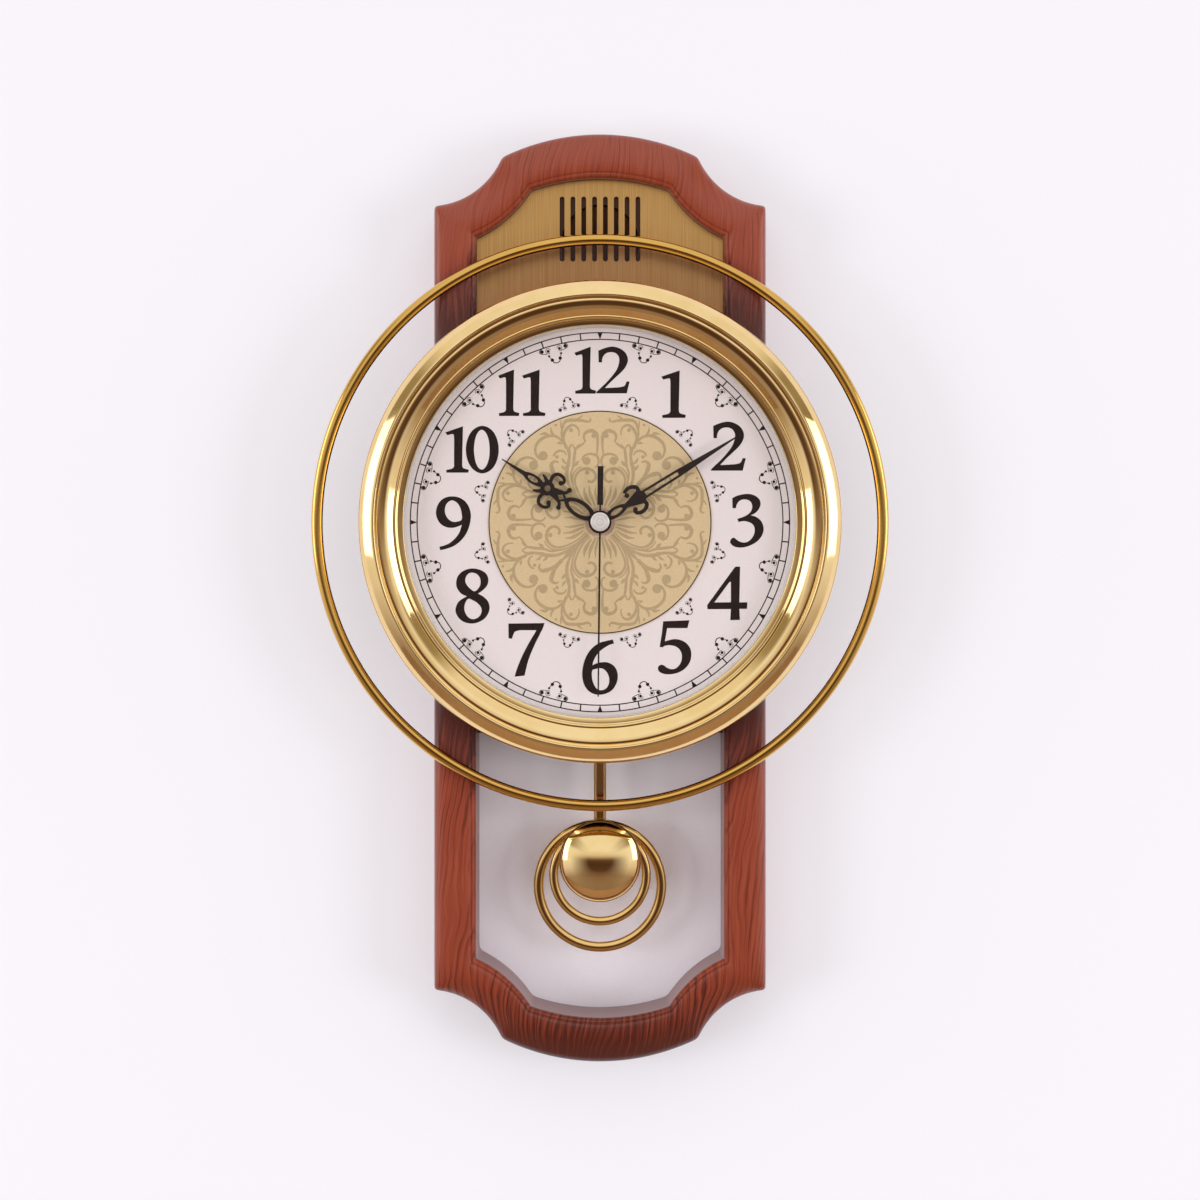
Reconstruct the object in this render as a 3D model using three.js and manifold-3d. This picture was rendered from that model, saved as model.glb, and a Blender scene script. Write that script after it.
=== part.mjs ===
// A wall clock with a swinging pendulum, built from the separate pieces it comes apart into.
// Millimetres. Inside the clock group x points right, y up from the middle of the case and z out of the wall.
// The group is turned so that the finished clock has +Z up, with its origin at the hanging keyhole.

import * as THREE from 'three';
import { mergeVertices } from 'three/addons/utils/BufferGeometryUtils.js';
import Module from 'manifold-3d';

const wasm = await Module();
wasm.setup();

// Fits shared by all pieces
const seat = 0.3; // gap between pieces that rest on each other
const running = 0.25; // radial gap round a turning arbor
const bigSides = 40; // sides of the large round pieces
const smallSides = 12; // sides of arbors, pipes and coils
const screwSides = 6;

// Case outline, the same scalloped form at the outer edge and at the window
const caseHeight = 540;
const shoulderDrop = 13.4; // from the top of the arch down to the shoulder points
const scallopDrop = 28.4; // from the shoulder points down to the side corners
const shoulderInset = 39.4; // from the sides in to the shoulder points
const scallopSag = 6.8;
const borderSide = 24.7;
const sideRoom = 13.9; // in the window, beside the spigot of the dial pan
const borderEnd = 26.6;
const windowShoulderDrop = 6.7;
const windowScallopDrop = 27.7;
const windowShoulderInset = 31.7;
const windowScallopSag = 3.1;

// Case moulding, from the wall out
const caseDepth = 50.5; // height of the soft ridge
const ridgeInset = 12.5;
const shoulderRound = 1.8; // small round at the outer edge
const bevelRise = 9.5; // from the outer edge up to the ridge
const lipFall = 4.6; // from the ridge down to the window lip
const beadWidth = 3;
const beadFall = 1.4;

// Back panel in its rebate, with the hanger
const panelThick = 3;
const rebateWidth = 8;
const accessMargin = 9; // access opening round the movement
const hangerDrop = 48; // from the top of the case down to the keyhole
const hangerWidth = 44;
const hangerThick = 1.2;
const keyholeRadius = 5;
const keySlotWidth = 5;
const keySlotLength = 9;
const hangerEdge = 5; // panel under each end of the hanger plate

// Screws
const screwHeadRadius = 2.7;
const screwHeadHeight = 1.6;
const screwShankRadius = 1.2;
const screwGrip = 9; // length of thread in the piece that it holds to
const railGrip = 5;
const backScrewInset = 29; // from the ends of the window's straight sides
const baffleScrewInset = 12;

// Grille, baffle and rails
const grilleRecess = 4; // below the window lip
const grilleThick = 1.5;
const grilleGap = 14; // from the dial pan's spigot up to the grille plate
const slotCount = 8;
const slotPitch = 6.3;
const slotWidth = 2.8;
const slotLength = 37.8;
const slotDrop = 55.5; // from the top of the case down to the middle of the slots
const baffleThick = 3.5;
const baffleDrop = 122; // below the middle of the dial
const railWidth = 8;
const railDepth = 10;
const railInset = 6; // rails end short of the baffle by this

// Speaker behind the slots
const speakerRadius = 27;
const speakerDrop = 8; // below the middle of the slots
const speakerFlange = 4.2;
const basketDepth = 14;
const basketWall = 1.4;
const magnetRadius = 12.5;
const magnetDepth = 6.5;

// Dial assembly
const dialY = 43.5; // middle of the dial above the middle of the case
const haloMargin = 28.8; // from the bezel out to the edge of the rim
const haloTube = 6.2;
const haloBite = 2.6; // how far the clear sheet goes into its rim
const haloThick = 3;
const bezelRadius = 138;
const bezelWall = 3;
const rollWidth = 10.2; // outer roll
const grooveWidth = 6.4;
const grooveDepth = 2.3;
const innerRollWidth = 8.2;
const lipWidth = 2.8;
const lipDrop = 6.8; // from the crest of the bezel down to the lip
const glassGap = 1.6; // between the hand cap and the dial glass
const lipThick = 1.2;
const panWall = 2.6;
const panRim = 4;
const panRimWall = 3;
const spigotWall = 5;
const spigotMargin = 2;
const dialThick = 1.2;
const dialEdge = 8; // dial plate under the inner roll
const medallionRadius = 64.2;
const medallionThick = 0.5;
const glassThick = 2;
const glassBite = 6.4; // dial glass behind the bezel lip
const spacerWall = 4;
const spacerSetback = 1.4;

// Movement train: tooth counts and modules
const rotorTeeth = 6;
const fifthTeeth = 36;
const fifthPinionTeeth = 6;
const secondTeeth = 30;
const secondPinionTeeth = 6;
const thirdTeeth = 45;
const thirdPinionTeeth = 6;
const centreTeeth = 48;
const cannonTeeth = 8;
const motionTeeth = 24;
const motionPinionTeeth = 8;
const hourTeeth = 32;
const settingTeeth = 8;
const rotorModule = 0.5;
const fifthModule = 0.75;
const thirdDistance = 13; // third arbor from the main axis
const motionDistance = 12; // motion wheel from the main axis
const fifthAngle = -20; // degrees from the x axis, seen from the front
const rotorAngle = 45;
const thirdAngle = -135;
const motionAngle = 120;
const settingTurn = 60; // from the line of the motion wheel round to the setting arbor
const wheelThick = 1.2;
const layerGap = 1.3;
const bridgeThick = 1.2;
const bridgeEdge = 4; // past the topmost arbor that it holds

// Movement arbors and case
const secondArborRadius = 0.75;
const minutePipeWall = 0.7;
const hourPipeWall = 0.8;
const bushWall = 1.3;
const arborRadius = 0.7;
const movementWall = 1.8;
const trainMargin = 1.4; // between the train and the movement case
const coverThick = 1.8;
const rotorMagnetRadius = 3;
const statorRim = 2.8;
const statorThick = 1.2;
const statorBar = 4;
const coilClearance = 0.5;
const coilLength = 30;
const boardThick = 1.4;
const boardHeight = 14;
const postRadius = 1.6;
const batteryRadius = 7.2;
const batteryLength = 49;
const batteryNub = 1.4;
const contactThick = 0.8;
const nutRadius = 7.8;
const nutThick = 1.8;
const knobRadius = 6;
const knobLength = 6.5;
const switchTravel = 5;
const switchLength = 4;
const switchHeight = 3.2;
const switchFlange = 2;
const switchReach = 2.2; // out of the back of the cover
const switchPlateThick = 0.9;
const switchX = 14;

// Hands, at the time that the clock shows
const handThick = 0.9;
const handGap = 1.3;
const hourAngle = 57.3; // degrees, counter-clockwise from twelve
const minuteAngle = -58.1;
const secondAngle = -180.6;
const hourTipGap = 43.6; // from the tip out to the bezel lip
const minuteTipGap = 19;
const secondTipGap = 10.4;
const secondWidth = 1.1;
const tailStart = 9.7;
const tailLength = 32;
const tailWidth = 3.4;
const hubRadius = 6.6;
const capRadius = 5.4;
const capThick = 1.5;

// Pendulum
const pivotDrop = 7; // below the top of the movement's cavity
const pivotRadius = 1.2;
const hangerArmWidth = 7;
const hangerArmThick = 4;
const pendulumCoilRadius = 3.4;
const pendulumMagnetThick = 2.4;
const pendulumGap = 1.2; // between the magnet and the movement cover
const rodWidth = 7.2;
const rodThick = 1.8;
const rodGroove = 0.7;
const rodEdge = 1.5;
const pegRadius = 1.4;
const outerRingRadius = 38.9;
const outerRingTube = 5.9;
const outerRingDepth = 4.4;
const bobGap = 36; // from the bob down to the bottom of the window
const middleRingRadius = 29.7;
const middleRingTube = 5.3;
const middleRingDepth = 4.2;
const middleRingDrop = 2.6; // below the top of the outer ring
const domeRadius = 23.9;
const domeRim = 1.4;
const domeHeight = 8.4;

// Geometry helpers

const point = (x, y) => new THREE.Vector2(x, y);
const radians = THREE.MathUtils.degToRad;
const polar = (radius, degrees) =>
  point(radius * Math.cos(radians(degrees)), radius * Math.sin(radians(degrees)));

// Merges shared corners, drops collapsed triangles and points the faces outwards.
function solid(geometry) {
  geometry.deleteAttribute('normal');
  geometry.deleteAttribute('uv');
  const merged = mergeVertices(geometry);
  const position = merged.attributes.position;
  const kept = [];
  let volume = 0;
  const [a, b, c] = [new THREE.Vector3(), new THREE.Vector3(), new THREE.Vector3()];
  for (let i = 0; i < merged.index.count; i += 3) {
    const corners = [0, 1, 2].map((k) => merged.index.getX(i + k));
    if (new Set(corners).size < 3) continue;
    kept.push(corners);
    a.fromBufferAttribute(position, corners[0]);
    b.fromBufferAttribute(position, corners[1]);
    c.fromBufferAttribute(position, corners[2]);
    volume += a.dot(b.cross(c));
  }
  merged.setIndex(kept.flatMap(([p, q, r]) => (volume < 0 ? [p, r, q] : [p, q, r])));
  return merged;
}

function toManifold(geometry) {
  const vertProperties = Float32Array.from(geometry.attributes.position.array);
  const triVerts = Uint32Array.from(geometry.index.array);
  return new wasm.Manifold(new wasm.Mesh({ numProp: 3, vertProperties, triVerts }));
}

function fromManifold(manifold) {
  const { vertProperties, triVerts } = manifold.getMesh();
  const geometry = new THREE.BufferGeometry();
  geometry.setAttribute('position', new THREE.BufferAttribute(Float32Array.from(vertProperties), 3));
  geometry.setIndex(new THREE.BufferAttribute(Uint32Array.from(triVerts), 1));
  return geometry;
}

function join(...geometries) {
  return fromManifold(geometries.map(toManifold).reduce((sum, next) => sum.add(next)));
}

function cut(geometry, ...cutters) {
  const whole = toManifold(geometry);
  return fromManifold(cutters.map(toManifold).reduce((rest, cutter) => rest.subtract(cutter), whole));
}

function circle(radius, sides = smallSides, x = 0, y = 0) {
  return Array.from({ length: sides }, (_, i) => polar(radius, (360 * i) / sides).add(point(x, y)));
}

function rectangle(left, right, bottom, top) {
  return [point(left, bottom), point(right, bottom), point(right, top), point(left, top)];
}

// A flat piece with an outline and holes, from one depth to another.
function plate(outlinePoints, holes, back, front) {
  const shape = new THREE.Shape(outlinePoints);
  shape.holes = holes.map((hole) => new THREE.Path(hole));
  const geometry = new THREE.ExtrudeGeometry(shape, { depth: front - back, bevelEnabled: false });
  return solid(geometry.translate(0, 0, back));
}

const block = (left, right, bottom, top, back, front) =>
  plate(rectangle(left, right, bottom, top), [], back, front);
const rod = (radius, x, y, back, front) => plate(circle(radius, smallSides, x, y), [], back, front);

// A turned piece about the z axis: a profile of [radius, z] that closes on itself or runs from axis to axis.
function turned(profile, sides = bigSides) {
  const points = profile.map(([radius, z]) => point(radius, z));
  const last = points[points.length - 1];
  if (points[0].x > 0 || last.x > 0) points.push(points[0].clone());
  return solid(new THREE.LatheGeometry(points, sides).rotateX(Math.PI / 2));
}

const ringPlate = (inner, outer, back, front, sides = bigSides) =>
  turned([[inner, back], [outer, back], [outer, front], [inner, front]], sides);
const disc = (radius, back, front, sides = bigSides) => ringPlate(0, radius, back, front, sides);

// Radius of a many-sided bore that clears a many-sided arbor at every turn.
const bore = (radius, gap = running) => (radius + gap) / Math.cos(Math.PI / smallSides);

// Points of an arc from one point to another, without its ends, bowed to the left by the sag.
function arcBetween(from, to, sag, steps) {
  const half = from.distanceTo(to) / 2;
  const along = to.clone().sub(from).normalize();
  const left = point(-along.y, along.x);
  const radius = (half * half + sag * sag) / (2 * sag);
  return Array.from({ length: steps - 1 }, (_, i) => {
    const reach = half * ((2 * (i + 1)) / steps - 1);
    const bow = Math.sign(radius) * Math.sqrt(radius * radius - reach * reach) - (radius - sag);
    return from.clone().addScaledVector(along, half + reach).addScaledVector(left, bow);
  });
}

// A band of even width along a smooth curve through the given points.
function band(points, width, steps, back, front) {
  const curve = new THREE.SplineCurve(points);
  const middle = curve.getPoints(steps);
  const sides = [1, -1].map((side) =>
    middle.map((p, i) => {
      const tangent = curve.getTangent(i / steps);
      return point(p.x - (side * tangent.y * width) / 2, p.y + (side * tangent.x * width) / 2);
    }),
  );
  return plate([...sides[0], ...sides[1].reverse()], [], back, front);
}

// A pointed oval about the y axis.
function oval(bottom, top, halfWidth, steps = 6) {
  const low = point(0, bottom);
  const high = point(0, top);
  const side = (from, to) => [from, ...arcBetween(from, to, -halfWidth, steps)];
  return [...side(low, high), ...side(high, low)];
}

const ellipse = (radius, depth, middle, z, sides) =>
  Array.from({ length: sides }, (_, i) => {
    const turn = (2 * Math.PI * i) / sides;
    return [middle + radius * Math.cos(turn), z + depth * Math.sin(turn)];
  });

// Pieces and finishes

const clock = new THREE.Group();
clock.rotation.x = Math.PI / 2;
clock.position.z = hangerDrop - caseHeight / 2;

const finish = (color, roughness, metalness = 0) =>
  new THREE.MeshStandardMaterial({ color, roughness, metalness });
const woodGrain = finish(0x8f422f, 0.3);
const paleBoard = finish(0xe6dfe4, 0.7);
const brownBoard = finish(0x6b4a35, 0.8);
const brushedGold = finish(0xb78a53, 0.35, 0.9);
const polishedGold = finish(0xd9a955, 0.15, 1);
const clearGlass = finish(0xe9eef0, 0.05);
const dialSilver = finish(0xe2d6d6, 0.4, 0.3);
const medallionTan = finish(0xd2b691, 0.5, 0.3);
const handBlack = finish(0x433531, 0.5);
const spunSteel = finish(0xc9bbb5, 0.25, 0.9);
const zincSteel = finish(0xb8b8b4, 0.35, 0.9);
const blackPlastic = finish(0x2a2828, 0.55);
const whitePlastic = finish(0xd8d4cc, 0.5);
const brass = finish(0xc8a35a, 0.3, 1);
const copper = finish(0xa8643c, 0.4, 0.9);
const greenBoard = finish(0x2f5a3a, 0.6);
const paperCone = finish(0x3a3634, 0.9);
const darkMagnet = finish(0x4a4848, 0.5, 0.6);

function piece(name, geometry, material, x = 0, y = 0) {
  const mesh = new THREE.Mesh(geometry, material);
  mesh.name = name;
  mesh.position.set(x, y, 0);
  clock.add(mesh);
}

// Depths from the wall out
const lipDepth = caseDepth - lipFall;
const grilleFront = lipDepth - grilleRecess;
const grilleBack = grilleFront - grilleThick;
const baffleFront = grilleBack - seat;
const baffleBack = baffleFront - baffleThick;
const railFront = baffleBack - seat;
const haloBack = caseDepth + seat + (haloTube - haloThick) / 2;
const haloFront = haloBack + haloThick;
const panBack = haloFront + seat;
const panFront = panBack + panWall;
const dialFront = panFront + seat + dialThick;
const medallionFront = dialFront + seat + medallionThick;
const nutFront = medallionFront + seat + nutThick;
const hourHandBack = nutFront + handGap;
const minuteHandBack = hourHandBack + handThick + handGap;
const secondHandBack = minuteHandBack + handThick + handGap;
const capBack = secondHandBack + handThick + seat;
const capFront = capBack + capThick;
const glassBack = capFront + glassGap;
const glassFront = glassBack + glassThick;
const lipBack = glassFront + seat;
const bezelFront = lipBack + lipThick + lipDrop;

// Layers of the train, counted from the front of the movement towards the wall
const movementFront = panBack - seat;
const trainFront = movementFront - movementWall;
const layerPitch = wheelThick + layerGap;
const hourLayer = trainFront - layerPitch;
const motionLayer = hourLayer - layerPitch;
const centreLayer = motionLayer - layerPitch;
const thirdLayer = centreLayer - layerPitch;
const bridgeFront = thirdLayer - layerGap / 2;
const bridgeBack = bridgeFront - bridgeThick;
const secondLayer = bridgeBack - layerGap / 2 - wheelThick;
const fifthLayer = secondLayer - layerPitch;
const coverFront = fifthLayer - layerGap;
const coverBack = coverFront - coverThick;

// Radii of the nested pipes on the main axis
const minuteBore = bore(secondArborRadius);
const minutePipeRadius = minuteBore + minutePipeWall;
const hourBore = bore(minutePipeRadius);
const hourPipeRadius = hourBore + hourPipeWall;
const bushBore = bore(hourPipeRadius);
const bushRadius = bushBore + bushWall;

// Radii of the dial assembly
const lipRadius = bezelRadius - rollWidth - grooveWidth - innerRollWidth - lipWidth;
const panRadius = bezelRadius - bezelWall - seat;
const haloRadius = bezelRadius + haloMargin;

// Places of the arbors about the main axis
const thirdModule = (2 * thirdDistance) / (secondPinionTeeth + thirdTeeth);
const centreModule = (2 * thirdDistance) / (thirdPinionTeeth + centreTeeth);
const motionModule = (2 * motionDistance) / (cannonTeeth + motionTeeth);
const hourModule = (2 * motionDistance) / (motionPinionTeeth + hourTeeth);
const fifthDistance = (fifthModule * (fifthPinionTeeth + secondTeeth)) / 2;
const rotorDistance = (rotorModule * (rotorTeeth + fifthTeeth)) / 2;
const settingDistance = (motionModule * (motionTeeth + settingTeeth)) / 2;
const settingAngle = motionAngle + settingTurn;
const fifthAt = polar(fifthDistance, fifthAngle);
const rotorAt = fifthAt.clone().add(polar(rotorDistance, rotorAngle));
const thirdAt = polar(thirdDistance, thirdAngle);
const motionAt = polar(motionDistance, motionAngle);
const settingAt = motionAt.clone().add(polar(settingDistance, settingAngle));

// Teeth: a wheel's come to a point and a pinion's leaves are blunt. Shares are of one tooth pitch or module.
const toothRootShare = 0.23;
const leafRootShare = 0.17;
const leafTipShare = 0.1;
const wheelAddendum = 1.05;
const leafAddendum = 0.75;
const dedendum = 1.3;
const tipRadius = (teeth, module) => (module * teeth) / 2 + wheelAddendum * module;

function gearOutline(teeth, module, phase, isPinion) {
  const pitch = 360 / teeth;
  const pitchRadius = (module * teeth) / 2;
  const root = pitchRadius - dedendum * module;
  const tip = pitchRadius + (isPinion ? leafAddendum : wheelAddendum) * module;
  const rootShare = isPinion ? leafRootShare : toothRootShare;
  const tipShares = isPinion ? [-leafTipShare, leafTipShare] : [0];
  return Array.from({ length: teeth }, (_, i) => {
    const middle = phase + i * pitch;
    return [
      polar(root, middle - rootShare * pitch),
      ...tipShares.map((share) => polar(tip, middle + share * pitch)),
      polar(root, middle + rootShare * pitch),
    ];
  }).flat();
}

const wheel = (teeth, module, phase, layer) =>
  plate(gearOutline(teeth, module, phase, false), [], layer, layer + wheelThick);
const pinion = (teeth, module, phase, layer) =>
  plate(gearOutline(teeth, module, phase, true), [], layer - layerGap / 4, layer + wheelThick + layerGap / 4);

// Phase of a gear that meets another, seen from that other at an angle: a gap stands opposite its tooth.
const meshPhase = (teeth, degrees, otherTeeth = teeth, otherPhase = degrees) =>
  degrees + 180 + 180 / teeth - ((otherPhase - degrees) * otherTeeth) / teeth;

// Movement case sizes, from the train and the battery that it holds
const thirdTip = tipRadius(thirdTeeth, thirdModule);
const secondTip = tipRadius(secondTeeth, fifthModule);
const motionTip = tipRadius(motionTeeth, motionModule);
const statorBack = secondLayer;
const statorBore = rotorMagnetRadius + 3 * running;
const statorOuter = statorBore + statorRim;
const pendulumCoilY = -(secondTip + pendulumCoilRadius + trainMargin);
const partitionTop = Math.min(pendulumCoilY - pendulumCoilRadius, thirdAt.y - thirdTip) - trainMargin;
const bayTop = partitionTop - movementWall;
const bayHeight = 2 * (batteryRadius + seat);
const bayY = bayTop - bayHeight / 2;
const bayLength = batteryLength + batteryNub + 2 * (contactThick + 2 * seat);
const cavityHalf = Math.max(bayLength / 2, rotorAt.x + statorOuter + trainMargin);
const statorBarY = Math.max(secondTip, rotorAt.y, settingAt.y + arborRadius) + trainMargin + statorBar / 2;
const coilRadius = statorBack + statorThick / 2 - coverFront - coilClearance;
const coilY = statorBarY + statorBar / 2 + trainMargin + coilRadius;
const statorLegX = coilLength / 2 + coilRadius / 2 + seat;
const boardBottom = motionAt.y + motionTip + trainMargin;
const boardTop = Math.max(boardBottom + boardHeight, coilY + coilRadius);
const cavityTop = boardTop + trainMargin;
const movementHalf = cavityHalf + movementWall;
const movementTop = cavityTop + movementWall;
const movementBottom = bayTop - bayHeight - movementWall;
const movementReach = Math.hypot(movementHalf, Math.max(movementTop, -movementBottom));
const spigotInner = movementReach + spigotMargin;
const spigotOuter = spigotInner + spigotWall;
const switchY = coilY - coilRadius - switchFlange - switchHeight / 2;
const pivotY = cavityTop - pivotDrop;

// Places in the case
const caseWidth = 2 * (spigotOuter + sideRoom + borderSide);
const hangerY = caseHeight / 2 - hangerDrop;
const slotY = caseHeight / 2 - slotDrop;
const speakerY = slotY - speakerDrop;
const outerRingY = outerRingRadius + bobGap + borderEnd - caseHeight / 2;
const middleRingY = outerRingY + outerRingRadius - middleRingDrop - middleRingRadius;
const domeY = outerRingY + outerRingRadius - domeRadius;

// Outline of the case at a share of its border: 0 is the outer edge and 1 the window.

function outlineSizes(share) {
  const mix = (outer, inner) => outer + share * (inner - outer);
  const x = caseWidth / 2 - share * borderSide;
  const apexY = caseHeight / 2 - share * borderEnd;
  const shoulderY = apexY - mix(shoulderDrop, windowShoulderDrop);
  return {
    x,
    apexY,
    shoulderY,
    shoulderX: x - mix(shoulderInset, windowShoulderInset),
    sideY: shoulderY - mix(scallopDrop, windowScallopDrop),
    sag: mix(scallopSag, windowScallopSag),
  };
}

function caseOutline(share) {
  const size = outlineSizes(share);
  const scallopSteps = 4;
  const archSteps = 8;
  const arch = size.apexY - size.shoulderY;
  const corners = [
    [point(size.x, -size.sideY), 0],
    [point(size.x, size.sideY), size.sag],
    [point(size.shoulderX, size.shoulderY), -arch],
    [point(-size.shoulderX, size.shoulderY), size.sag],
    [point(-size.x, size.sideY), 0],
    [point(-size.x, -size.sideY), size.sag],
    [point(-size.shoulderX, -size.shoulderY), -arch],
    [point(size.shoulderX, -size.shoulderY), size.sag],
  ];
  return corners.flatMap(([corner, sag], i) => {
    const next = corners[(i + 1) % corners.length][0];
    if (sag === 0) return [corner];
    return [corner, ...arcBetween(corner, next, sag, sag > 0 ? scallopSteps : archSteps)];
  });
}

// The part of the window's outline above a level, for a plate that fits in the window.
function windowAbove(level) {
  const fitted = caseOutline(1 + seat / borderSide);
  const { x } = outlineSizes(1 + seat / borderSide);
  return [point(-x, level), point(x, level), ...fitted.filter((p) => p.y > level)];
}

const windowHalf = outlineSizes(1).x;

// Case frame: the moulding carried round the scalloped outline, with two rails inside for the baffle.

function loftRing(profile) {
  const rings = profile.map(([inset, z]) => caseOutline(inset / borderSide).map((p) => [p.x, p.y, z]));
  const count = rings[0].length;
  const index = [];
  rings.forEach((_, i) => {
    const next = ((i + 1) % rings.length) * count;
    for (let j = 0; j < count; j += 1) {
      const k = (j + 1) % count;
      index.push(i * count + j, i * count + k, next + k, i * count + j, next + k, next + j);
    }
  });
  const geometry = new THREE.BufferGeometry();
  geometry.setAttribute('position', new THREE.Float32BufferAttribute(rings.flat(2), 3));
  geometry.setIndex(index);
  return solid(geometry);
}

const rebateDepth = panelThick + seat;
const mouldingProfile = [
  [0, 0],
  [0, caseDepth - bevelRise - shoulderRound],
  [shoulderRound, caseDepth - bevelRise],
  [ridgeInset, caseDepth],
  [borderSide - beadWidth, lipDepth + beadFall],
  [borderSide, lipDepth],
  [borderSide, rebateDepth],
  [borderSide - rebateWidth, rebateDepth],
  [borderSide - rebateWidth, 0],
];

const baffleBottom = dialY - baffleDrop;
const railBottom = baffleBottom + railInset;
const railTop = outlineSizes(1).sideY - railInset;
const railOverlap = borderSide / 2; // rails reach into the frame that they are moulded with

// A screw from its head: direction 1 drives it towards the front and -1 towards the wall.
function screwProfile(headZ, direction, shank, spare) {
  const at = (depth) => headZ + direction * depth;
  return [
    [0, at(-spare)],
    [screwHeadRadius + spare, at(-spare)],
    [screwHeadRadius + spare, at(screwHeadHeight + spare)],
    [screwShankRadius + spare, at(screwHeadHeight + spare)],
    [screwShankRadius + spare, at(screwHeadHeight + shank + spare)],
    [0, at(screwHeadHeight + shank + spare)],
  ];
}

const screw = (headZ, direction, shank) => turned(screwProfile(headZ, direction, shank, 0), screwSides);
const screwHole = (x, y, headZ, direction, shank) =>
  turned(screwProfile(headZ, direction, shank, seat), screwSides).translate(x, y, 0);

const backScrewX = windowHalf + rebateWidth / 2;
const backScrewY = outlineSizes(1).sideY - backScrewInset;
const backScrewHead = seat;
const backScrewShank = panelThick - screwHeadHeight + screwGrip;
const backScrewPlaces = [1, -1].flatMap((side) =>
  [1, -1].map((end) => point(side * backScrewX, end * backScrewY)),
);

const baffleScrewX = windowHalf - railWidth / 2;
const baffleScrewHead = baffleFront - seat;
const baffleScrewShank = baffleThick - screwHeadHeight + railGrip;
const baffleScrewPlaces = [1, -1].flatMap((side) =>
  [railTop - baffleScrewInset, railBottom + baffleScrewInset].map((y) => point(side * baffleScrewX, y)),
);

function caseFrame() {
  const rails = [1, -1].map((side) => {
    const edges = [side * (windowHalf - railWidth), side * (windowHalf + railOverlap)].sort((a, b) => a - b);
    return block(edges[0], edges[1], railBottom, railTop, railFront - railDepth, railFront);
  });
  return cut(
    join(loftRing(mouldingProfile), ...rails),
    ...backScrewPlaces.map(({ x, y }) => screwHole(x, y, backScrewHead, 1, backScrewShank)),
    ...baffleScrewPlaces.map(({ x, y }) => screwHole(x, y, baffleScrewHead, -1, baffleScrewShank)),
  );
}

// Back panel and hanger
const hangerBack = panelThick + seat;
const hangerFront = hangerBack + hangerThick;
const hangerScrewX = hangerWidth / 2 - hangerEdge / 2 - screwShankRadius;
const hangerScrewHead = hangerFront + seat + screwHeadHeight;
const hangerScrewShank = hangerThick + panelThick;
const hangerHoleHalf = hangerScrewX - hangerEdge;
const hangerBottom = -keySlotLength - keyholeRadius - hangerEdge;
const hangerTop = keySlotWidth / 2 + hangerEdge;

function backPanel() {
  const outlinePoints = caseOutline(1 - (rebateWidth - seat) / borderSide);
  const access = rectangle(
    -movementHalf - accessMargin,
    movementHalf + accessMargin,
    dialY + movementBottom - accessMargin,
    dialY + movementTop + accessMargin,
  );
  const keyWell = rectangle(
    -hangerHoleHalf,
    hangerHoleHalf,
    hangerY + hangerBottom + seat,
    hangerY + hangerTop - seat,
  );
  return cut(
    plate(outlinePoints, [access, keyWell], 0, panelThick),
    ...backScrewPlaces.map(({ x, y }) => screwHole(x, y, backScrewHead, 1, backScrewShank)),
    ...[1, -1].map((side) => screwHole(side * hangerScrewX, hangerY, hangerScrewHead, -1, hangerScrewShank)),
  );
}

function hangerPlate() {
  const slotHalf = keySlotWidth / 2;
  const startTurn = Math.asin(slotHalf / keyholeRadius);
  const keyhole = [];
  const steps = 10;
  for (let i = 0; i <= steps; i += 1) {
    const turn = Math.PI / 2 + startTurn + ((2 * Math.PI - 2 * startTurn) * i) / steps;
    keyhole.push(point(keyholeRadius * Math.cos(turn), keyholeRadius * Math.sin(turn) - keySlotLength));
  }
  keyhole.push(point(slotHalf, 0), point(0, slotHalf), point(-slotHalf, 0));
  const outlinePoints = rectangle(-hangerWidth / 2, hangerWidth / 2, hangerBottom, hangerTop);
  const screwHoles = [1, -1].map((side) =>
    screwHole(side * hangerScrewX, 0, hangerScrewHead, -1, hangerScrewShank),
  );
  return cut(plate(outlinePoints, [keyhole], hangerBack, hangerFront), ...screwHoles);
}

piece('case_frame', caseFrame(), woodGrain);
piece('back_panel', backPanel(), paleBoard);
piece('hanger_plate', hangerPlate(), zincSteel, 0, hangerY);
[1, -1].forEach((side, i) => {
  const geometry = screw(hangerScrewHead, -1, hangerScrewShank - seat);
  piece(`hanger_screw_${i + 1}`, geometry, zincSteel, side * hangerScrewX, hangerY);
});
backScrewPlaces.forEach(({ x, y }, i) => {
  piece(`back_screw_${i + 1}`, screw(backScrewHead, 1, backScrewShank), zincSteel, x, y);
});
baffleScrewPlaces.forEach(({ x, y }, i) => {
  piece(`baffle_screw_${i + 1}`, screw(baffleScrewHead, -1, baffleScrewShank), zincSteel, x, y);
});

// Baffle, grille plate and speaker
const coneRadius = speakerRadius - speakerFlange;
const spigotBack = baffleFront + seat;
const panScrewRing = (spigotInner + spigotOuter) / 2;
const panScrewHead = baffleBack - seat - screwHeadHeight;
const panScrewShank = baffleThick + screwGrip;
const panScrewPlaces = [90, 210, 330].map((degrees) => polar(panScrewRing, degrees).add(point(0, dialY)));

function bafflePlate() {
  const holes = [circle(spigotInner, bigSides, 0, dialY), circle(coneRadius, bigSides / 2, 0, speakerY)];
  return cut(
    plate(windowAbove(baffleBottom), holes, baffleBack, baffleFront),
    ...baffleScrewPlaces.map(({ x, y }) => screwHole(x, y, baffleScrewHead, -1, baffleScrewShank)),
    ...panScrewPlaces.map(({ x, y }) => screwHole(x, y, panScrewHead, 1, panScrewShank)),
  );
}

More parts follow.
